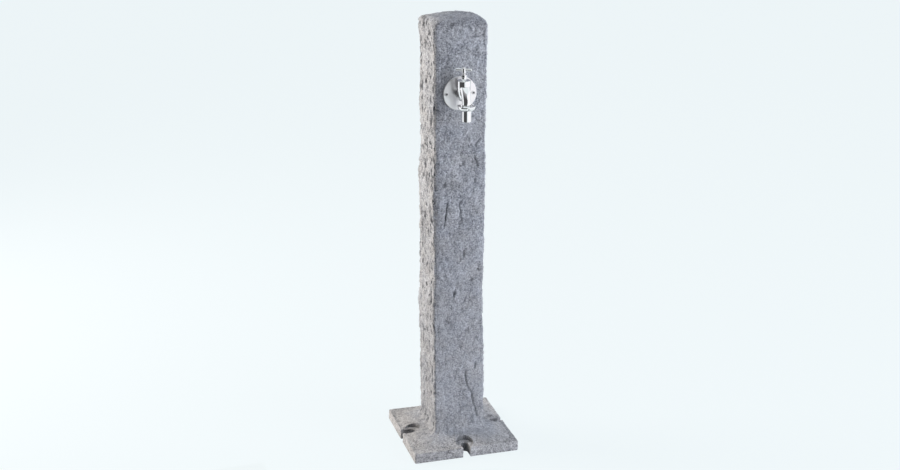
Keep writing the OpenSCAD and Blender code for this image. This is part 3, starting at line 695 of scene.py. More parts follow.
def crack(across, up, path, width):
    """1 along a path and 0 away from it: the nearest distance to the path's straight pieces, as a V."""
    nearest = np.full(len(across), np.inf)
    for (start_a, start_u), (end_a, end_u) in zip(path, path[1:]):
        run_a, run_u = end_a - start_a, end_u - start_u
        along = ((across - start_a) * run_a + (up - start_u) * run_u) / (run_a ** 2 + run_u ** 2)
        along = np.clip(along, 0, 1)
        away = np.hypot(across - start_a - along * run_a, up - start_u - along * run_u)
        nearest = np.minimum(nearest, away)
    return np.clip(1 - nearest / width, 0, 1)


wander = CRACK_WANDER * soft_noise(post_points, size=9, seed=19)
jog = CRACK_WANDER * soft_noise(post_points, size=9, seed=22)
on_front = y < EDGE_R / 2 - POST_HALF
on_left = x < EDGE_R / 2 - POST_HALF
cracks = np.zeros(len(post_points))
for path in FRONT_CRACKS:
    cracks = np.maximum(cracks, on_front * crack(x + wander, z + jog, path, CRACK_WIDTH))
for path in LEFT_GOUGES:
    gouge = crack(y + wander, z + jog, path, GOUGE_WIDTH)
    cracks = np.maximum(cracks, on_left * ramp(*GOUGE_EDGE, gouge + streak_noise))
print("cracked points:", int((cracks > 0.3).sum()))

# %% Swell of the sides
FRONT_SWELL = 0.8
# Each pair: height on the post and the swell there, in millimetres.
LEFT_SWELL = [
    (100, 2.2), (200, 2.5), (270, 4), (330, 6), (430, 2), (490, 3),
    (530, 2), (610, 4), (700, -1), (810, 1.5), (880, -2.5), (950, 1)]
RIGHT_SWELL = [
    (100, 0.7), (150, 2.2), (226, 1.7), (310, -1.2), (380, -2.4), (440, -1),
    (500, 0.5), (594, 2.6), (712, 2.6), (810, 2.9), (890, 3.6), (950, 4.3)]
CROWN_SINK, CROWN_CREST = 7.0, -20.0
ARRIS_DEPTH, ARRIS_REACH, ARRIS_LEAN = 4.2, 15.0, 2.4
ARRIS_FADE = (150, 500)
RIGHT_DEPTH, RIGHT_REACH = 2.4, 20.0

left_swell = np.interp(z, *zip(*LEFT_SWELL)) * leftness
right_swell = np.interp(z, *zip(*RIGHT_SWELL)) * np.clip(normals[:, 0], 0, 1)
swell = left_swell + right_swell + FRONT_SWELL * np.abs(normals[:, 1])
from_crest = (y - CROWN_CREST) / (POST_HALF - CROWN_CREST)
swell -= CROWN_SINK * from_crest ** 2 * np.clip(normals[:, 2], 0, 1) * ramp(CROWN_BASE, POST_H, z)
arris = ARRIS_DEPTH * np.clip(1 - (x + POST_HALF) / ARRIS_REACH, 0, 1) ** 2 * ramp(*ARRIS_FADE, z)
arris += RIGHT_DEPTH * np.clip(1 - (POST_HALF - x) / RIGHT_REACH, 0, 1) ** 2
swell -= arris * np.clip(-normals[:, 1], 0, 1) + ARRIS_LEAN * leftness * np.clip(-y / POST_HALF, 0, 1)
swell *= ramp(SWELL_Z, SWELL_Z + 2 * FLARE_H, z)
print("swell:", round(float(swell.min()), 1), "to", round(float(swell.max()), 1), "mm")

# %% Move the skin
CRACK_DEPTH = 2.6
PIT_DEPTH, LEFT_PIT_DEPTH = 1.6, 1.5
BLISTER_AT, BLISTER_HALF, BLISTER_H = (-16, 568), (9, 23), 1.2
BLISTER_EDGE = (0.5, 1.1)
STONE_SHARP = 50

from_blister = np.hypot((x - BLISTER_AT[0]) / BLISTER_HALF[0], (z - BLISTER_AT[1]) / BLISTER_HALF[1])
blister = on_front * BLISTER_H * (1 - ramp(*BLISTER_EDGE, from_blister))
relief = swell + waves + chips + grain + blister
relief -= PIT_DEPTH * pits + LEFT_PIT_DEPTH * left_pits + CRACK_DEPTH * cracks
relief *= rough
moved = post_points + normals * relief[:, None]
post.data.vertices.foreach_set("co", (moved * MM).astype(np.float32).ravel())
post.data.update()
post.data.set_sharp_from_angle(angle=math.radians(STONE_SHARP))
print("relief:", round(float(relief.min()), 2), "to", round(float(relief.max()), 2), "mm")

# %% Dirt, painted shade, pores and lift
# Shares of darkening: dirt and painted shade in pits and cracks, painted shade in the left pits and in the
# slots, and a darkening low on the left.
PIT_DIRT_AND_SHADE, LEFT_PIT_SHADE, CRACK_DIRT_AND_SHADE, SLOT_SHADE, LOW_LEFT_DARK = 0.4, 0.6, 0.75, 0.6, 0.14
LOW_LEFT_SIDE, LOW_LEFT_FADE = (40, 80), (60, 420)
SLOT_RIM = 1.0
FRONT_PORES, FAR_PORES, SHOULDER_SHADE = 0.12, 0.7, 2.5

# Pits and cracks are darker with dirt and painted shade, the pits on the left face with painted shade.
dirt_and_shade = np.maximum(np.maximum(PIT_DIRT_AND_SHADE * pits, LEFT_PIT_SHADE * left_pits), CRACK_DIRT_AND_SHADE * cracks)
# The left face and the left edge are darker towards the bottom.
darker_low_left = LOW_LEFT_DARK * np.maximum(leftness, ramp(*LOW_LEFT_SIDE, -x)) * (1 - ramp(*LOW_LEFT_FADE, z))
# The walls of the slots and of the washer seats get painted shade.
from_seat = seat_distance(post_points[:, :2])
under_seat = (z < SEAT_Z - SLOT_RIM) | (from_seat > SEAT_R - SLOT_RIM)
in_slot = (from_seat < SEAT_R) & under_seat & (z < SWELL_Z)
store(post, "hollow", np.maximum(1 - (1 - dirt_and_shade * rough) * (1 - darker_low_left), SLOT_SHADE * in_slot))
# Where pores show, the material paints shade into them, most on the left face near its front edge.
near_arris = ramp(-POST_HALF / 2, POST_HALF / 2, -y)
left_pores = leftness * (FAR_PORES + (1 - FAR_PORES) * near_arris)
store(post, "pitted", rough * np.maximum(FRONT_PORES, left_pores))
# The tone is lifted on the foot and on faces turned up, and the crown's front shoulder gets painted shade.
upness = normals[:, 2]
shoulder = np.clip(4 * upness * (1 - upness), 0, 1) * np.clip(-2 * normals[:, 1], 0, 1)
tone_lift = np.maximum(1 - ramp(FOOT_T, SWELL_Z + FLARE_H, z), upness)
store(post, "tone_lift", tone_lift - SHOULDER_SHADE * shoulder * (z > CROWN_BASE))
print("points in the slots:", int(in_slot.sum()))

# %% Texture map of the post
HALF_SHAFT = shaft_ring_count // 2
# Each box: first ring, last ring, and the spans of the texture across and up.
MAP_BOXES = [
    (0, HALF_SHAFT, (0.0, 0.5), (0.42, 1.0)),
    (HALF_SHAFT, shaft_ring_count, (0.5, 1.0), (0.42, 1.0)),
    (shaft_ring_count, plate_edge_count, (0.0, 1.0), (0.16, 0.41)),
    (plate_edge_count, plate_side_count, (0.0, 1.0), (0.10, 0.155)),
    (plate_side_count, plate_under_count, (0.0, 1.0), (0.05, 0.095)),
    (plate_under_count, len(post_rings) - 1, (0.0, 1.0), (0.0, 0.045)),
]


def unwrap(rows):
    """Places every corner in its box of the texture: the column runs across, and the ring runs down."""
    flat_map = []
    for first, last, across, up in MAP_BOXES:
        for _, shares, ring in rows[first:last]:
            u = across[0] + (across[1] - across[0]) * shares
            v = up[1] - (up[1] - up[0]) * (ring - first) / (last - first)
            flat_map.append(np.stack([u.ravel(), v.ravel()], 1))
    return np.concatenate(flat_map)


post_map = post.data.uv_layers.new(name="OFBake")
post_map.data.foreach_set("uv", unwrap(post_rows).astype(np.float32).ravel())
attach(post, "pillar")
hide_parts("stone_pillar")
print("corners placed:", len(post_map.data))

# %% [markdown]
# ## The stone's colour
# The moulding is grey resin full of mineral grains, so close up it is salt and pepper, and from afar it
# is mottled. Three sizes of noise and the random cells of a Voronoi texture add up to one tone, which
# runs from a dark grain to a light one. Low on the shaft the grain is calmer. A slow noise moves the
# colour between a cool and a warm grey. Pits and cracks are darker with dirt and painted shade, and the
# pores, the slots and the washer seats' walls with painted shade. The left face darkens towards the
# bottom. The foot and the faces turned up are a little paler, but the crown's front shoulder gets
# painted shade. The same grain feeds a small bump.

# %% Texture helpers
def blend_colour(tree, share, first, second):
    """One Mix node between two colours, and its result."""
    made = put(tree, "ShaderNodeMix", {"Factor": share}, data_type="RGBA")
    for name, value in (("A", first), ("B", second)):
        socket = next(s for s in made.inputs if s.name == name and s.type == "RGBA")
        if isinstance(value, bpy.types.NodeSocket):
            tree.links.new(value, socket)
        else:
            socket.default_value = value
    return next(s for s in made.outputs if s.type == "RGBA")


def noise_node(tree, place, scale, detail, roughness=0.5):
    """One Noise texture and its value."""
    inputs = {"Vector": place, "Scale": scale, "Detail": detail, "Roughness": roughness}
    return put(tree, "ShaderNodeTexNoise", inputs).outputs[0]


def range_node(tree, value, span, result=(0, 1)):
    """One Map Range node: the value's span becomes the result's span, and beyond it the ends hold."""
    inputs = {"Value": value, "From Min": span[0], "From Max": span[1]}
    inputs.update({"To Min": result[0], "To Max": result[1]})
    return put(tree, "ShaderNodeMapRange", inputs).outputs[0]


print("texture helpers ready")

# %% Tone of the stone
# Each layer: scale, detail, roughness, and weight in the tone.
TONE_LAYERS = [(16, 3, 0.5, 0.6), (75, 4, 0.6, 0.7), (290, 3, 0.7, 2.1)]
TONE_START = -1.35
SPECK_SCALE, SPECK_WEIGHT = 330, 0.35

stone, tree = bare_material("split_stone")
place = put(tree, "ShaderNodeTexCoord").outputs["Object"]
tone = TONE_START
for scale, detail, roughness, weight in TONE_LAYERS:
    grit = noise_node(tree, place, scale, detail, roughness)
    tone = math_node(tree, "MULTIPLY_ADD", grit, weight, tone)
cells = put(tree, "ShaderNodeTexVoronoi", {"Vector": place, "Scale": SPECK_SCALE})
speck = put(tree, "ShaderNodeSeparateColor", {0: cells.outputs["Color"]}).outputs[0]
tone = math_node(tree, "MULTIPLY_ADD", speck, SPECK_WEIGHT, tone)
print("sizes of noise in the tone:", len(TONE_LAYERS))

# %% Calm, lift and warmth
COOL_LIGHT, COOL_DARK = (0.595, 0.63, 0.69, 1), (0.124, 0.135, 0.16, 1)
WARM_LIGHT, WARM_DARK = (0.635, 0.635, 0.64, 1), (0.143, 0.142, 0.146, 1)
MIDDLE_TONE, CALM_LOW, CALM_HIGH, FOOT_GRAIN = 0.525, 0.72, 1.0, 0.6
TONE_LIFT = 0.075
WARMTH_SCALE, FOOT_WARMTH = 28, 0.7

height = put(tree, "ShaderNodeSeparateXYZ", {0: place}).outputs["Z"]
foot_warmth = range_node(tree, height, (FOOT_T * MM, SWELL_Z * MM), (FOOT_WARMTH, 0))
calm = range_node(tree, height, (SWELL_Z * MM, TAP_Z * MM), (CALM_LOW, CALM_HIGH))
calm = math_node(tree, "MULTIPLY_ADD", foot_warmth, FOOT_GRAIN, calm)
tone = math_node(tree, "SUBTRACT", tone, MIDDLE_TONE)
tone = math_node(tree, "MULTIPLY_ADD", tone, calm, MIDDLE_TONE)
# The lift pales the foot and the tops. Its negative part, on the crown's front shoulder, is painted shade.
lifted = {0: stored_node(tree, "tone_lift"), 1: TONE_LIFT, 2: tone}
tone = put(tree, "ShaderNodeMath", lifted, operation="MULTIPLY_ADD", use_clamp=True).outputs[0]
warmth = math_node(tree, "ADD", noise_node(tree, place, WARMTH_SCALE, detail=2), foot_warmth)
cool_grey = blend_colour(tree, tone, COOL_DARK, COOL_LIGHT)
warm_grey = blend_colour(tree, tone, WARM_DARK, WARM_LIGHT)
grey = blend_colour(tree, warmth, cool_grey, warm_grey)
print("grain at the foot of the shaft:", CALM_LOW, "of that at the tap")

# %% Pores, dirt, painted shade and bump
HOLLOW_TONE = (0.075, 0.08, 0.09, 1)
PORE_SCALE, PORE_EDGE = 100.0, (0.6, 0.64)
GRAIN_BUMP = 0.0014
STONE_ROUGH, STONE_SHINE = 0.9, 0.3

# Pores are darkened with painted shade, and the hollows with dirt and painted shade.
stretched = put(tree, "ShaderNodeMapping", {"Vector": place, "Scale": STREAK}).outputs[0]
pores = range_node(tree, noise_node(tree, stretched, PORE_SCALE, detail=2), PORE_EDGE)
pores = math_node(tree, "MULTIPLY", pores, stored_node(tree, "pitted"))
dirt_and_shade_mix = math_node(tree, "MAXIMUM", stored_node(tree, "hollow"), pores)
stone_colour = blend_colour(tree, dirt_and_shade_mix, grey, HOLLOW_TONE)
grain_height = math_node(tree, "MULTIPLY_ADD", speck, SPECK_WEIGHT, grit)
stone_bump = put(tree, "ShaderNodeBump", {"Height": grain_height, "Distance": GRAIN_BUMP})
stone_face = put(tree, "ShaderNodeBsdfPrincipled", {
    "Base Color": stone_colour, "Roughness": STONE_ROUGH, "Specular IOR Level": STONE_SHINE,
    "Normal": stone_bump.outputs[0]})
put(tree, "ShaderNodeOutputMaterial", {"Surface": stone_face.outputs[0]})
post.data.materials.append(stone)
print("stone nodes:", len(tree.nodes))

# %% [markdown]
# ## Metal finishes
# The tap is polished chrome, its cover plates are satin steel, and the fittings inside are brass. All
# three have the same fine faults: soft clouds where hands and water dull the polish, and a slight
# waviness under it. Those make one shader node group, and each metal sets how strong they are. The screws
# have the plates' steel, with dirt and painted shade in the cross recess.

# %% Surface wear group
wear = bpy.data.node_groups.new("surface_wear", "ShaderNodeTree")
for name, start in (("Roughness", 0.1), ("Clouding", 0.05), ("Cloud Scale", 60.0), ("Grain Scale", 900.0)):
    wear.interface.new_socket(name, in_out="INPUT", socket_type="NodeSocketFloat").default_value = start
wear.interface.new_socket("Roughness", in_out="OUTPUT", socket_type="NodeSocketFloat")
wear.interface.new_socket("Height", in_out="OUTPUT", socket_type="NodeSocketFloat")
given = put(wear, "NodeGroupInput")
place = put(wear, "ShaderNodeTexCoord").outputs["Object"]
cloud = noise_node(wear, place, given.outputs["Cloud Scale"], detail=3)
polish = noise_node(wear, place, given.outputs["Grain Scale"], detail=1)
dulled = math_node(wear, "MULTIPLY_ADD", cloud, given.outputs["Clouding"], given.outputs["Roughness"])
put(wear, "NodeGroupOutput", {"Roughness": dulled, "Height": math_node(wear, "ADD", cloud, polish)})
print("wear group:", len(wear.nodes), "nodes")

# %% Metal materials
CHROME, STEEL, BRASS = (0.88, 0.88, 0.885, 1), (0.9, 0.885, 0.895, 1), (0.74, 0.55, 0.27, 1)
# The cross recesses of the screws are darker with dirt and painted shade.
RECESS_DIRT_AND_SHADE_TONE = (0.13, 0.13, 0.135, 1)
CHROME_WEAR = {"Roughness": 0.04, "Clouding": 0.05, "Cloud Scale": 70, "Grain Scale": 500}
STEEL_WEAR = {"Roughness": 0.27, "Clouding": 0.03, "Cloud Scale": 60, "Grain Scale": 900}
BRASS_WEAR = {"Roughness": 0.2, "Clouding": 0.2, "Cloud Scale": 120, "Grain Scale": 1500}
CHROME_BUMP, STEEL_BUMP, BRASS_BUMP = 0.000006, 0.000001, 0.00005


def metal(name, colour, faults, bump, recess_dirt_and_shade_tone=None):
    """A plain metal whose roughness and small bumps come from the wear group. A screw's recess may have a
    darker tone of its own, for dirt and painted shade."""
    made, tree = bare_material(name)
    worn = put(tree, "ShaderNodeGroup", faults, node_tree=wear)
    bumped = put(tree, "ShaderNodeBump", {"Height": worn.outputs["Height"], "Distance": bump})
    shader = put(tree, "ShaderNodeBsdfPrincipled", {
        "Base Color": colour, "Metallic": 1.0, "Roughness": worn.outputs["Roughness"],
        "Normal": bumped.outputs[0]})
    if recess_dirt_and_shade_tone:
        recess = stored_node(tree, "recess")
        tree.links.new(blend_colour(tree, recess, colour, recess_dirt_and_shade_tone), shader.inputs["Base Color"])
    put(tree, "ShaderNodeOutputMaterial", {"Surface": shader.outputs[0]})
    return made


chrome = metal("chrome", CHROME, CHROME_WEAR, CHROME_BUMP)
satin_steel = metal("satin_steel", STEEL, STEEL_WEAR, STEEL_BUMP)
screw_steel = metal("screw_steel", STEEL, STEEL_WEAR, STEEL_BUMP, RECESS_DIRT_AND_SHADE_TONE)
brass = metal("machined_brass", BRASS, BRASS_WEAR, BRASS_BUMP)
print("metals: chrome, satin steel, screw steel, brass")

# %% Soft materials
RUBBER, FIBRE, BRAID = (0.03, 0.03, 0.032), (0.34, 0.09, 0.06), (0.3, 0.31, 0.32)


def matt_material(name, colour, roughness, scale, contrast, bump):
    """A matt stuff with a mottled tone and a fine bump from the same noise."""
    made, tree = bare_material(name)
    place = put(tree, "ShaderNodeTexCoord").outputs["Object"]
    noise = noise_node(tree, place, scale, detail=4)
    light = tuple(c * (1 + contrast) for c in colour) + (1,)
    dark = tuple(c * (1 - contrast) for c in colour) + (1,)
    bumped = put(tree, "ShaderNodeBump", {"Height": noise, "Distance": bump})
    shader = put(tree, "ShaderNodeBsdfPrincipled", {
        "Base Color": blend_colour(tree, noise, dark, light), "Roughness": roughness,
        "Normal": bumped.outputs[0]})
    put(tree, "ShaderNodeOutputMaterial", {"Surface": shader.outputs[0]})
    return made


rubber = matt_material("black_rubber", RUBBER, roughness=0.7, scale=300, contrast=0.3, bump=0.0001)
fibre = matt_material("red_fibre", FIBRE, roughness=0.85, scale=700, contrast=0.5, bump=0.0002)
hose_braid = matt_material("hose_braid", BRAID, roughness=0.45, scale=500, contrast=0.4, bump=0.0002)
finishes = {"stone": stone, "chrome": chrome, "satin_steel": satin_steel, "brass": brass, "rubber": rubber,
            "fibre": fibre, "hose": hose_braid}

for part in frame["record"]["subparts"]:
    node = frame["nodes"][part["node"]]
    node.data.materials.clear()
    node.data.materials.append(finishes[part["material_slot"]])

# %% [markdown]
# ## Turned metal
# Cover plates, nuts, rings and the nozzle are turned on a lathe: one outline is carried round an axis. A
# real turned edge is never quite sharp, and it is the round edge that catches the light. So every corner
# of an outline is cut by a short curve, with one more point beside it that keeps the flats flat. A
# hexagon is turned too, and its radius stops at the six flats.

# %% Outline and turning
COLUMNS = 96
CORNER_STEPS = 6
MOST_REACH, GUARD = 0.45, 1.1
UP = np.array([(1.0, 0, 0), (0, 1, 0), (0, 0, 1)])
FRONT = np.array([(1.0, 0, 0), (0, 0, 1), (0, -1, 0)])
BACK = np.array([(-1.0, 0, 0), (0, 0, 1), (0, 1, 0)])
turn_round = 2 * np.pi * np.arange(COLUMNS) / COLUMNS


def soft_outline(corners, closed=False):
    """A line through (radius, height, reach) corners. Each corner with a reach is cut by a parabola that
    starts and ends that far from it, or nearly half way to its neighbour."""
    spots = np.array(corners, float)
    line = []
    for number, (*spot, reach) in enumerate(spots):
        if reach == 0 or (not closed and number in (0, len(spots) - 1)):
            line.append([spot])
            continue
        before = spots[number - 1, :2] - spot
        after = spots[(number + 1) % len(spots), :2] - spot
        start, end = [way * min(reach / np.linalg.norm(way), MOST_REACH) for way in (before, after)]
        t = np.linspace(0, 1, CORNER_STEPS)[:, None]
        curve = spot + (1 - t) ** 2 * start + t ** 2 * end
        line.append(np.concatenate([[spot + GUARD * start], curve, [spot + GUARD * end]]))
    return np.concatenate(line)


def turned(outline, middle, axes=UP, across_flats=np.inf):
    """Rings of a turned piece: each (radius, height) of the outline goes round the third axis, through
    the middle. A radius of 0 closes an end, and across_flats cuts a hexagon."""
    limit = across_flats / 2 / np.cos(turn_round % (np.pi / 3) - np.pi / 6)
    rings = []
    for radius, height in outline:
        reach = np.minimum(radius, limit)
        ring = np.outer(reach * np.cos(turn_round), axes[0]) + np.outer(reach * np.sin(turn_round), axes[1])
        rings.append((ring if np.max(radius) > 0 else ring[:1]) + middle + height * axes[2])
    return rings


print("columns on a turned piece:", COLUMNS)

# %% One piece from closed skins
def add_piece(name, skins, body, slot, *nodes):
    """An object from closed skins, each a list of rings and whether it bends back on itself like a tube's
    wall."""
    points, faces, start = [], [], 0
    for rings, closed in skins:
        faces += [row[0] + start for row in skin(rings, closed)]
        points += rings
        start += sum(len(ring) for ring in rings)
    made = add_mesh(name, np.concatenate(points), faces)
    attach(made, body)
    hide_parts(*nodes)
    made.data.materials.append(finishes[slot])
    return made


def middle_of(node):
    """The middle of a CAD node's box, in millimetres."""
    return np.mean(box_mm(node), axis=0)


TAP_AXIS = middle_of("tap_bonnet") * (1, 1, 0)
OUTLET_AXIS = middle_of("hose_nozzle") * (1, 1, 0)
print("spindle axis:", TAP_AXIS, "outlet axis:", OUTLET_AXIS)

# %% [markdown]
# ## Cover plates and their screws
# A round plate hides each hole in the stone. It is pressed from steel sheet, so it is slightly domed.
# That dome matters for the look: its lower half mirrors the floor and its upper left the dark card. Each
# plate has two pan-head screws with a cross recess, which is a dent in the height of the head. The dent
# also marks its points, so that the material can darken them with dirt and painted shade.

# %% Cover plates
PLATE_R, PLATE_HOLE = 37.0, 10.9
PLATE_RIM, PLATE_RISE = 2.4, 1.6
DOME_START, DOME_END, DOME_STEPS = PLATE_HOLE + 0.5, PLATE_R - 2, 24


def plate_height(radius):
    """A shallow dome: the rim's thickness, and a rise that falls with the square of the radius."""
    return PLATE_RIM + PLATE_RISE * (1 - (radius / PLATE_R) ** 2)


dome_radius = np.linspace(DOME_START, DOME_END, DOME_STEPS)
dome = np.stack([dome_radius, plate_height(dome_radius)], 1)
plate_edge = soft_outline([
    (*dome[-1], 0), (PLATE_R, plate_height(PLATE_R), 1.3), (PLATE_R, 0, 0.2),
    (PLATE_HOLE, 0, 0.2), (PLATE_HOLE, dome[0, 1], 0.4), (*dome[0], 0)])
plate_outline = np.concatenate([dome, plate_edge[1:-1]])
front_wall = np.array([0, -POST_HALF, TAP_Z])
back_wall = np.array([0, POST_HALF, INLET_Z])
plates = (("tap", front_wall, FRONT), ("inlet", back_wall, BACK))
for plate, wall, axes in plates:
    plate_rings = turned(plate_outline, wall, axes)
    add_piece(plate + "_plate", [(plate_rings, True)], "pillar", "satin_steel", plate + "_rosette")
print("plates rise", PLATE_RISE, "mm")

# %% Screw with a cross recess
CROSS_HALF, CROSS_WIDTH, CROSS_DEPTH = 2.6, 0.9, 1.3
ARM_EDGE, END_EDGE = (0.8, 1.2), (0.9, 1.1)
HEAD_RINGS, HEAD_CROWDING = 22, 0.8
UNDER_HEAD = 0.4

head_spread = np.sin(np.linspace(0, np.pi / 2, HEAD_RINGS + 1)[1:]) ** HEAD_CROWDING


def cross_share(radius):
    """1 inside a cross that is turned by an eighth and 0 outside it, for each point of a ring."""
    turn = turn_round + np.pi / 4
    from_arm = radius * np.minimum(np.abs(np.cos(turn)), np.abs(np.sin(turn)))
    in_arm = 1 - ramp(*ARM_EDGE, from_arm / CROSS_WIDTH)
    return in_arm * (1 - ramp(*END_EDGE, radius / CROSS_HALF))


def screw(middle, axes, head_r, head_h, shank_r, shank_l):
    """Rings of a pan-head screw. The head's height falls as the square root of 1 - (r / R)^4, and it
    drops by the recess inside the cross."""
    flat_ring = np.outer(np.cos(turn_round), axes[0]) + np.outer(np.sin(turn_round), axes[1])
    rings = [middle + axes[2:] * (head_h - CROSS_DEPTH)]
    for radius in head_r * head_spread:
        height = head_h * math.sqrt(max(0, 1 - (radius / head_r) ** 4)) - CROSS_DEPTH * cross_share(radius)
        rings.append(middle + radius * flat_ring + np.outer(height, axes[2]))
    shank = [(head_r, -UNDER_HEAD), (shank_r, -UNDER_HEAD), (shank_r, -shank_l), (0, -shank_l)]
    return rings + turned(shank, middle, axes)


def recess_dirt_and_shade(piece, screws, head_r):
    """Gives some screws their steel, and each of their points its share of dirt and painted shade: that of
    the cross on the head, and none on the shank."""
    head = np.concatenate([[1.0]] + [cross_share(radius) for radius in head_r * head_spread])
    shank_count = sum(len(ring) for ring in screws[0]) - len(head)
    store(piece, "recess", np.tile(np.concatenate([head, np.zeros(shank_count)]), len(screws)))
    piece.data.materials[0] = screw_steel


print("rings on a screw's head:", HEAD_RINGS)

# %% Screws on the plates
SCREW_X, SCREW_GAP = 30.0, 0.2
SCREW_HEAD_R, SCREW_HEAD_H, SCREW_R, SCREW_L = 4.25, 2.2, 2.4, 15.5

screw_seat = plate_height(SCREW_X) + SCREW_GAP
for plate, wall, axes in plates:
    seats = [wall + axes[0] * side * SCREW_X + axes[2] * screw_seat for side in (-1, 1)]
    screws = [screw(seat, axes, SCREW_HEAD_R, SCREW_HEAD_H, SCREW_R, SCREW_L) for seat in seats]
    plate_screws = add_piece(plate + "_plate_screws", [(rings, False) for rings in screws],
                             "pillar", "satin_steel", plate + "_rosette_screws")
    recess_dirt_and_shade(plate_screws, screws, SCREW_HEAD_R)
print("screws: 2 on each plate")

# %% [markdown]
# ## The tap's body
# The body is one casting: an upright barrel that narrows towards its round bottom, a shank to the wall,
# and a spout that leaves the barrel under its top and bends down. The barrel and the shank are turned.
# The spout is a circle carried along a curve, wider at its root, as a casting is filleted there. Boolean
# modifiers fuse the three skins and cut the chamber for the valve.

# %% Barrel
BARREL_R = 14.6
BARREL_TOP, BARREL_BOTTOM = box_mm("tap_body")[1][2], 821.5
BARREL_TAPER, BARREL_POWER, BARREL_STEPS = 0.1, 2.6, 40
RIM_H, RIM_POINTS = 2.0, 2
CUT_R, CUT_TOP, CUT_GAP = 30.0, 872.0, 0.02
SEAT_HOLE_R, SEAT_LIP_R, CHAMBER_R = 5.5, 7.0, 10.5
SEAT_HOLE_Z, LIP_Z, CHAMBER_Z = 838.0, 845.0, 843.0


def barrel_side():
    """The barrel's side: its radius falls slowly, then as the square root of 1 - u^BARREL_POWER down to
    the bottom."""
    u = np.sin(np.linspace(0, np.pi / 2, BARREL_STEPS))
    radius = BARREL_R * (1 - BARREL_TAPER * u) * np.sqrt(np.maximum(1 - u ** BARREL_POWER, 0))
    return np.stack([radius, BARREL_TOP - u * (BARREL_TOP - BARREL_BOTTOM)], 1)


barrel_rim = soft_outline([
    (0, BARREL_TOP, 0), (BARREL_R, BARREL_TOP, 0.15), (BARREL_R, BARREL_TOP - RIM_H, 0)])
barrel_rings = turned(np.concatenate([barrel_rim[:-1], barrel_side()[RIM_POINTS:]]), TAP_AXIS)
cut_low = BARREL_TOP + CUT_GAP
chamber_outline = soft_outline([
    (0, CUT_TOP, 0), (CUT_R, CUT_TOP, 0), (CUT_R, cut_low, 0), (CHAMBER_R, cut_low, 0),
    (CHAMBER_R, CHAMBER_Z, 0.3), (SEAT_LIP_R, CHAMBER_Z, 0.3), (SEAT_LIP_R, LIP_Z, 0.3),
    (SEAT_HOLE_R, LIP_Z, 0.3), (SEAT_HOLE_R, SEAT_HOLE_Z, 0.3), (0, SEAT_HOLE_Z, 0)])
chamber_rings = turned(chamber_outline, TAP_AXIS)
print("barrel rings:", len(barrel_rings))

# %% Shank
SHANK_R, SHANK_BORE, SHANK_ROOT_R = 10.48, 6.5, 12.4
SHANK_START, ROOT_END, ROOT_FADE, BORE_START = 4, 12, 16, 20

shank_end = -box_mm("tap_body")[1][1]
spindle_out = -TAP_AXIS[1]
shank_outline = soft_outline([
    (0, spindle_out - SHANK_START, 0), (SHANK_ROOT_R, spindle_out - SHANK_START, 0.3),
    (SHANK_ROOT_R, spindle_out - ROOT_END, 3), (SHANK_R, spindle_out - ROOT_FADE, 3),
    (SHANK_R, shank_end, 0.6), (SHANK_BORE, shank_end, 0.4),
    (SHANK_BORE, spindle_out - BORE_START, 0.3), (0, spindle_out - BORE_START, 0)])
shank_rings = turned(shank_outline, np.array([0, 0, TAP_Z]), FRONT)
print("shank rings:", len(shank_rings))

# %% Spout
SPOUT_R, SPOUT_ROOT_GAIN, SPOUT_BORE = 9.5, 2.6, 5.5
SPOUT_START, SPOUT_BEND, SPOUT_END = (-90.0, 855.0), (-109.0, 842.0), (-109.0, 822.0)
SPOUT_STEPS = 40
BOSS_R, BOSS_TOP, BOSS_BOTTOM = 13.1, 816.6, box_mm("tap_body")[0][2]

t = np.linspace(0, 1, SPOUT_STEPS)[:, None]
start, bend, end = (np.array(spot) for spot in (SPOUT_START, SPOUT_BEND, SPOUT_END))
spout_path = (1 - t) ** 2 * start + 2 * t * (1 - t) * bend + t ** 2 * end
spout_way = (1 - t) * (bend - start) + t * (end - bend)
spout_way /= np.linalg.norm(spout_way, axis=1)[:, None]
spout_radius = SPOUT_R + SPOUT_ROOT_GAIN * (1 - t[:, 0]) ** 2
spout_rings = [np.array([[0, *start]])]
for spot, way, radius in zip(spout_path, spout_way, spout_radius):
    across = np.array([0, -way[1], way[0]])
    circle = np.outer(np.cos(turn_round), (1, 0, 0)) + np.outer(np.sin(turn_round), across)
    spout_rings.append(np.array([0, *spot]) + radius * circle)
boss = soft_outline([
    (SPOUT_R, SPOUT_END[1], 0), (SPOUT_R, BOSS_TOP, 1.6), (BOSS_R, BOSS_TOP, 0.4),
    (BOSS_R, BOSS_BOTTOM, 0.4), (SPOUT_BORE, BOSS_BOTTOM, 0.4), (SPOUT_BORE, SPOUT_END[1], 0.3),
    (0, SPOUT_END[1], 0)])[1:]
spout_rings += turned(boss, OUTLET_AXIS)
print("spout rings:", len(spout_rings))

# %% Fuse the casting
SHARP_ANGLE = 38


def fuse(whole, joined, cut):
    """Joins closed objects to the first by Boolean unions, cuts one other out of it, and keeps the seams
    crisp."""
    for other in (*joined, cut):
        step = whole.modifiers.new("fuse", "BOOLEAN")
        step.operation = "UNION" if other in joined else "DIFFERENCE"
        step.solver = "MANIFOLD"
        step.object = other
    fused = bpy.data.meshes.new_from_object(whole.evaluated_get(bpy.context.evaluated_depsgraph_get()))
    whole.modifiers.clear()
    whole.data = fused
    for other in (*joined, cut):
        bpy.data.objects.remove(other)
    whole.data.set_sharp_from_angle(angle=math.radians(SHARP_ANGLE))


def add_skin(name, rings):
    """A closed skin alone, to be fused into a piece."""
    return add_mesh(name, np.concatenate(rings), [row[0] for row in skin(rings)])


casting = add_piece("tap_casting", [(barrel_rings, False)], "pillar", "chrome", "tap_body")
fuse(casting, [add_skin("spout_skin", spout_rings), add_skin("shank_skin", shank_rings)],
     add_skin("chamber_skin", chamber_rings))
print("casting:", len(casting.data.polygons), "faces")

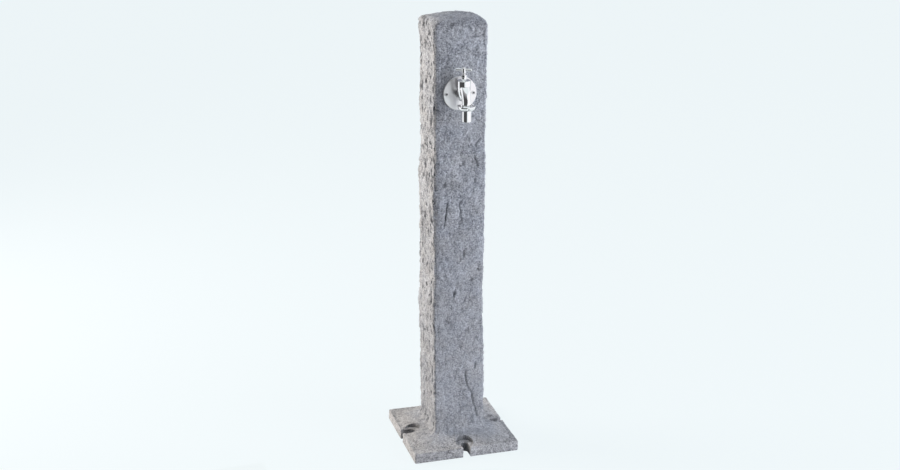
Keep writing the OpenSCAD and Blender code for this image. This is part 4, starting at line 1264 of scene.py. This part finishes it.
# %% [markdown]
# ## Headwork and gland
# The headwork screws into the barrel's top. Its cap is domed and as wide as the barrel, with a shallow
# spanner flat on each side, and its neck holds the packing. The gland on the neck is a small hexagon.
# Both are turned rings, because the spindle runs through them.

# %% Headwork
CAP_GAP = 0.05
CAP_DOME_R, CAP_BASE, CAP_TOP = 28.0, BARREL_TOP + CAP_GAP, 871.6
CAP_FLAT = 14.15
CAP_START, CAP_END, CAP_STEPS, CAP_ROUND = 1.2, 0.5, 16, 0.6
NECK_R, NECK_BORE, NECK_TOP = 6.1, 5.25, box_mm("tap_bonnet")[1][2]
SKIRT_R, SKIRT_BORE, SKIRT_TOP, SKIRT_Z = 10.4, 9.0, 857.0, box_mm("tap_bonnet")[0][2]
WASHER_ROOM, WASHER_TOP = 14.0, box_mm("bonnet_washer")[1][2]

cap_radius = np.linspace(NECK_R + CAP_START, BARREL_R - CAP_END, CAP_STEPS)
cap_dome = CAP_TOP + np.sqrt(CAP_DOME_R ** 2 - cap_radius ** 2) - math.sqrt(CAP_DOME_R ** 2 - NECK_R ** 2)
cap_side = cap_dome[-1] - CAP_ROUND
headwork_outline = np.concatenate([
    soft_outline([(NECK_BORE, WASHER_TOP, 0), (NECK_BORE, NECK_TOP, 0.3), (NECK_R, NECK_TOP, 0.5),
                  (NECK_R, CAP_TOP, 1.0), (cap_radius[0], cap_dome[0], 0)])[1:-1],
    np.stack([cap_radius, cap_dome], 1),
    soft_outline([(cap_radius[-1], cap_dome[-1], 0), (BARREL_R, cap_side, 0.6), (BARREL_R, CAP_BASE, 0.1),
                  (WASHER_ROOM, CAP_BASE, 0.1), (WASHER_ROOM, WASHER_TOP, 0.1), (SKIRT_R, WASHER_TOP, 0.1),
                  (SKIRT_R, SKIRT_Z, 0.4), (SKIRT_BORE, SKIRT_Z, 0.2), (SKIRT_BORE, SKIRT_TOP, 0.2),
                  (NECK_BORE, SKIRT_TOP, 0)])[1:]])
headwork_rings = turned(headwork_outline, TAP_AXIS)
for ring in headwork_rings:
    ring[:, 0] = np.clip(ring[:, 0], -CAP_FLAT, CAP_FLAT)
add_piece("headwork", [(headwork_rings, True)], "pillar", "chrome", "tap_bonnet")
print("headwork rings:", len(headwork_rings))

# %% Gland
GLAND_FLATS, GLAND_CORNER_R, GLAND_TURN = 11.6, 6.4, math.radians(-28)
GLAND_TOP_R, GLAND_CHAMFER, GLAND_GAP, GLAND_FIT = 5.7, 0.6, 0.05, 0.1
STEM_ROOM = 3.6
GLAND_LOW, GLAND_TOP = box_mm("gland_nut")[0][2], box_mm("gland_nut")[1][2]

gland_seat, gland_r = NECK_TOP + GLAND_GAP, NECK_BORE - GLAND_FIT
gland_outline = soft_outline([
    (STEM_ROOM, GLAND_TOP, 0.2), (GLAND_TOP_R, GLAND_TOP, 0.3),
    (GLAND_CORNER_R, GLAND_TOP - GLAND_CHAMFER, 0.3),
    (GLAND_CORNER_R, gland_seat, 0.2), (gland_r, gland_seat, 0.1), (gland_r, GLAND_LOW, 0.2),
    (STEM_ROOM, GLAND_LOW, 0.2)], closed=True)
gland_cos, gland_sin = math.cos(GLAND_TURN), math.sin(GLAND_TURN)
gland_axes = np.array([(gland_cos, gland_sin, 0), (-gland_sin, gland_cos, 0), (0, 0, 1)])
gland_rings = turned(gland_outline, TAP_AXIS, gland_axes, GLAND_FLATS)
add_piece("gland", [(gland_rings, True)], "pillar", "chrome", "gland_nut")
print("gland:", GLAND_FLATS, "mm across its flats")

# %% [markdown]
# ## The tee handle
# A bar goes across a hub on the spindle. The bar is thickest at its round tips, so that fingers don't
# slip off. Both are turned, each about its own axis, and fused. A small domed screw holds the hub on its
# stem.

# %% Tee handle
TEE_HALF, TEE_TURN, TEE_SHARE = 17.5, math.radians(-25), 0.64
TEE_ROOT_R, TEE_TIP_R = 2.8, 3.3
TIP_FLAT, TIP_L = 0.75, 2.4
HUB_R, HUB_BORE, HUB_BEVEL_R, HUB_BEVEL_H = 4.5, 3.6, 0.6, 1.6
HUB_LOW, HUB_TOP = box_mm("tee_handle")[0][2], box_mm("tee_handle")[1][2]
TEE_Z = HUB_LOW + TEE_SHARE * (HUB_TOP - HUB_LOW)
STEM_GAP, BORE_BELOW = 0.1, 1
STEM_TOP = box_mm("valve_spindle")[1][2] + STEM_GAP

hub_outline = soft_outline([
    (0, HUB_TOP, 0), (HUB_R - HUB_BEVEL_R, HUB_TOP, 0.8), (HUB_R, HUB_TOP - HUB_BEVEL_H, 0.8),
    (HUB_R, HUB_LOW, 0.6), (0, HUB_LOW, 0)])
bore_low = HUB_LOW - BORE_BELOW
bore_outline = [(0, STEM_TOP), (HUB_BORE, STEM_TOP), (HUB_BORE, bore_low), (0, bore_low)]
tee = add_piece("tee", [(turned(hub_outline, TAP_AXIS), False)], "handle", "chrome", "tee_handle")
bar_end = [
    (0, TEE_HALF, 0), (TEE_TIP_R * TIP_FLAT, TEE_HALF, 1.0), (TEE_TIP_R, TEE_HALF - TIP_L, 1.2),
    (TEE_ROOT_R, HUB_R, 2)]
bar_outline = soft_outline(bar_end + [(radius, -along, reach) for radius, along, reach in bar_end[::-1]])
bar_way = np.array([math.cos(TEE_TURN), math.sin(TEE_TURN), 0])
bar_axes = np.array([(0, 0, 1), np.cross(bar_way, (0, 0, 1)), bar_way])
fuse(tee, [add_skin("bar_skin", turned(bar_outline, TAP_AXIS + (0, 0, TEE_Z), bar_axes))],
     add_skin("bore_skin", turned(bore_outline, TAP_AXIS)))
print("tee:", 2 * TEE_HALF, "mm from tip to tip")

# %% Screw on the tee
TEE_HEAD_R, TEE_HEAD_H, TEE_SCREW_R, TEE_SCREW_L = 3.2, 1.6, 1.5, 6
TEE_SCREW_GAP = 0.35

tee_top = TAP_AXIS + (0, 0, HUB_TOP + TEE_SCREW_GAP)
tee_screw_rings = screw(tee_top, UP, TEE_HEAD_R, TEE_HEAD_H, TEE_SCREW_R, TEE_SCREW_L)
tee_screw = add_piece("tee_screw", [(tee_screw_rings, False)], "handle", "satin_steel", "handle_screw")
recess_dirt_and_shade(tee_screw, [tee_screw_rings], TEE_HEAD_R)
print("screw's head:", 2 * TEE_HEAD_R, "mm across")

# %% [markdown]
# ## Union ring and nozzle
# The ring draws the nozzle's collar up against the spout, so both can come off for another fitting. Both
# are turned tubes with soft edges, and the ring narrows downwards for the fingers. The ring lies on its
# own body and turns, the nozzle drops with it.

# %% Union ring and nozzle
RING_LOW, RING_TOP = box_mm("union_ring")[0][2], box_mm("union_ring")[1][2]
RING_R, RING_HOLE, RING_BORE, RING_FLOOR = 19.0, 10.15, 13.3, 1.65
RING_RISE, RING_WALL, RING_TAPER, RING_SLOPE = 2.8, 3.8, 1.4, 1.5
NOZZLE_R, NOZZLE_BORE, COLLAR_R, COLLAR_T = 10.0, 7.5, 12.8, 1.4
NOZZLE_LOW, NOZZLE_TOP = box_mm("hose_nozzle")[0][2], box_mm("hose_nozzle")[1][2]

ring_outline = soft_outline([
    (RING_BORE, RING_TOP + RING_RISE, 0.4), (RING_R, RING_TOP + RING_RISE - RING_SLOPE, 0.6),
    (RING_R, RING_TOP + RING_RISE - RING_WALL, 1.2), (RING_R - RING_TAPER, RING_LOW + RING_RISE, 0.9),
    (RING_R - 3 * RING_TAPER, RING_LOW, 0.6), (RING_HOLE, RING_LOW, 0.4),
    (RING_HOLE, RING_LOW + RING_FLOOR, 0.1), (RING_BORE, RING_LOW + RING_FLOOR, 0.1)], closed=True)
add_piece("union_nut", [(turned(ring_outline, OUTLET_AXIS), True)], "ring", "chrome", "union_ring")
nozzle_outline = soft_outline([
    (NOZZLE_BORE, NOZZLE_TOP, 0.2), (COLLAR_R, NOZZLE_TOP, 0.2), (COLLAR_R, NOZZLE_TOP - COLLAR_T, 0.2),
    (NOZZLE_R, NOZZLE_TOP - COLLAR_T, 0.2), (NOZZLE_R, NOZZLE_LOW, 1.0),
    (NOZZLE_BORE, NOZZLE_LOW, 0.4)], closed=True)
add_piece("nozzle", [(turned(nozzle_outline, OUTLET_AXIS), True)], "nozzle", "chrome", "hose_nozzle")
print("ring and nozzle:", 2 * RING_R, "and", 2 * NOZZLE_R, "mm across")

# %% [markdown]
# ## The inlet at the back
# Low on the back face a threaded nipple takes the garden's water pipe. It has a hexagon for the spanner,
# and its pipe thread is a ridge that climbs one pitch with each turn, so its radius depends on the angle
# and the height.

# %% Inlet nipple
INLET_FLATS, INLET_CORNER_R, INLET_BORE = 32.0, 18.2, 6.5
HEX_LOW, HEX_H, HEX_GAP, HEX_BEVEL_R, HEX_BEVEL_H = 4.0, 8.0, 0.6, 2.4, 1.2
THREAD_R, THREAD_PITCH, THREAD_DEPTH = 13.22, 1.814, 1.1
THREAD_STEP, THREAD_CHAMFER = 0.2, 1.4
THREAD_LOW = HEX_LOW + HEX_H

inlet_tip = box_mm("inlet_nipple")[1][1] - POST_HALF
inlet_root = box_mm("inlet_nipple")[0][1] - POST_HALF


def thread_radius(height):
    """The pipe thread's radius round one ring: a triangle wave of the height in pitches less the share of
    a turn, cut back by a chamfer at the tip."""
    phase = (height / THREAD_PITCH - turn_round / (2 * np.pi)) % 1
    ridge = THREAD_R - THREAD_DEPTH * np.abs(2 * phase - 1)
    return np.minimum(ridge, THREAD_R - THREAD_CHAMFER + inlet_tip - height)


tip_outline = soft_outline([
    (INLET_BORE, HEX_LOW, 0), (INLET_BORE, inlet_tip, 0.4),
    (THREAD_R - THREAD_CHAMFER - THREAD_DEPTH, inlet_tip, 0)])
thread_heights = np.arange(inlet_tip, THREAD_LOW, -THREAD_STEP)
thread_outline = [(thread_radius(height), height) for height in thread_heights]
hex_outline = soft_outline([
    (THREAD_R - THREAD_DEPTH, THREAD_LOW, 0), (INLET_CORNER_R - HEX_BEVEL_R, THREAD_LOW, 0.6),
    (INLET_CORNER_R, THREAD_LOW - HEX_BEVEL_H, 0.6), (INLET_CORNER_R, HEX_LOW + HEX_GAP, 0.4),
    (SHANK_R, HEX_LOW + HEX_GAP, 0.3), (SHANK_R, inlet_root, 0.6),
    (INLET_BORE, inlet_root, 0.4), (INLET_BORE, HEX_LOW, 0)])
nipple_outline = [*tip_outline[1:], *thread_outline, *hex_outline]
nipple_rings = turned(nipple_outline, back_wall, BACK, INLET_FLATS)
add_piece("inlet_pipe_end", [(nipple_rings, True)], "pillar", "brass", "inlet_nipple")
print("nipple rings:", len(nipple_rings))

# %% [markdown]
# ## The hose inside
# A braided hose runs up the hollow post from the inlet's elbow to the tap's. It is clamped at both ends
# and stands free between them in one soft S, so its middle line is an eased step from the back to the
# front. The braid is two sets of strands that wind round it in opposite senses, which the radius follows.

# %% Braided hose
HOSE_R, HOSE_BORE = 9.0, 6.5
HOSE_STRAIGHT = 50.0
HOSE_STEP = 1.6
STRANDS, STRAND_PITCH, STRAND_H, STRAND_STEEP = 12, 34.0, 0.35, 6
BORE_SKIP = 8

hose_low, hose_high = box_mm("supply_hose")[0][2], box_mm("supply_hose")[1][2]
hose_back = box_mm("supply_hose")[1][1] - HOSE_R
hose_z = np.arange(hose_high, hose_low - HOSE_STEP / 2, -HOSE_STEP)
hose_share = np.clip((hose_z - hose_low - HOSE_STRAIGHT) / (hose_high - hose_low - 2 * HOSE_STRAIGHT), 0, 1)
hose_y = hose_back - 2 * hose_back * hose_share ** 2 * (3 - 2 * hose_share)
climb = 2 * np.pi * hose_z[:, None] / STRAND_PITCH * STRANDS / STRAND_STEEP
right_hand = np.sin(STRANDS * turn_round + climb)
left_hand = np.sin(STRANDS * turn_round - climb)
braid = HOSE_R - STRAND_H * (1 - np.maximum(np.abs(right_hand), np.abs(left_hand)))
hose_rings = [turned([(radius, z)], (0, y, 0))[0] for radius, y, z in zip(braid, hose_y, hose_z)]
bore_path = zip(hose_y[::-BORE_SKIP], hose_z[::-BORE_SKIP])
bore_rings = [turned([(HOSE_BORE, z)], (0, y, 0))[0] for y, z in bore_path]
add_piece("braided_hose", [(hose_rings + bore_rings, True)], "pillar", "hose", "supply_hose")
print("hose rings:", len(hose_rings))
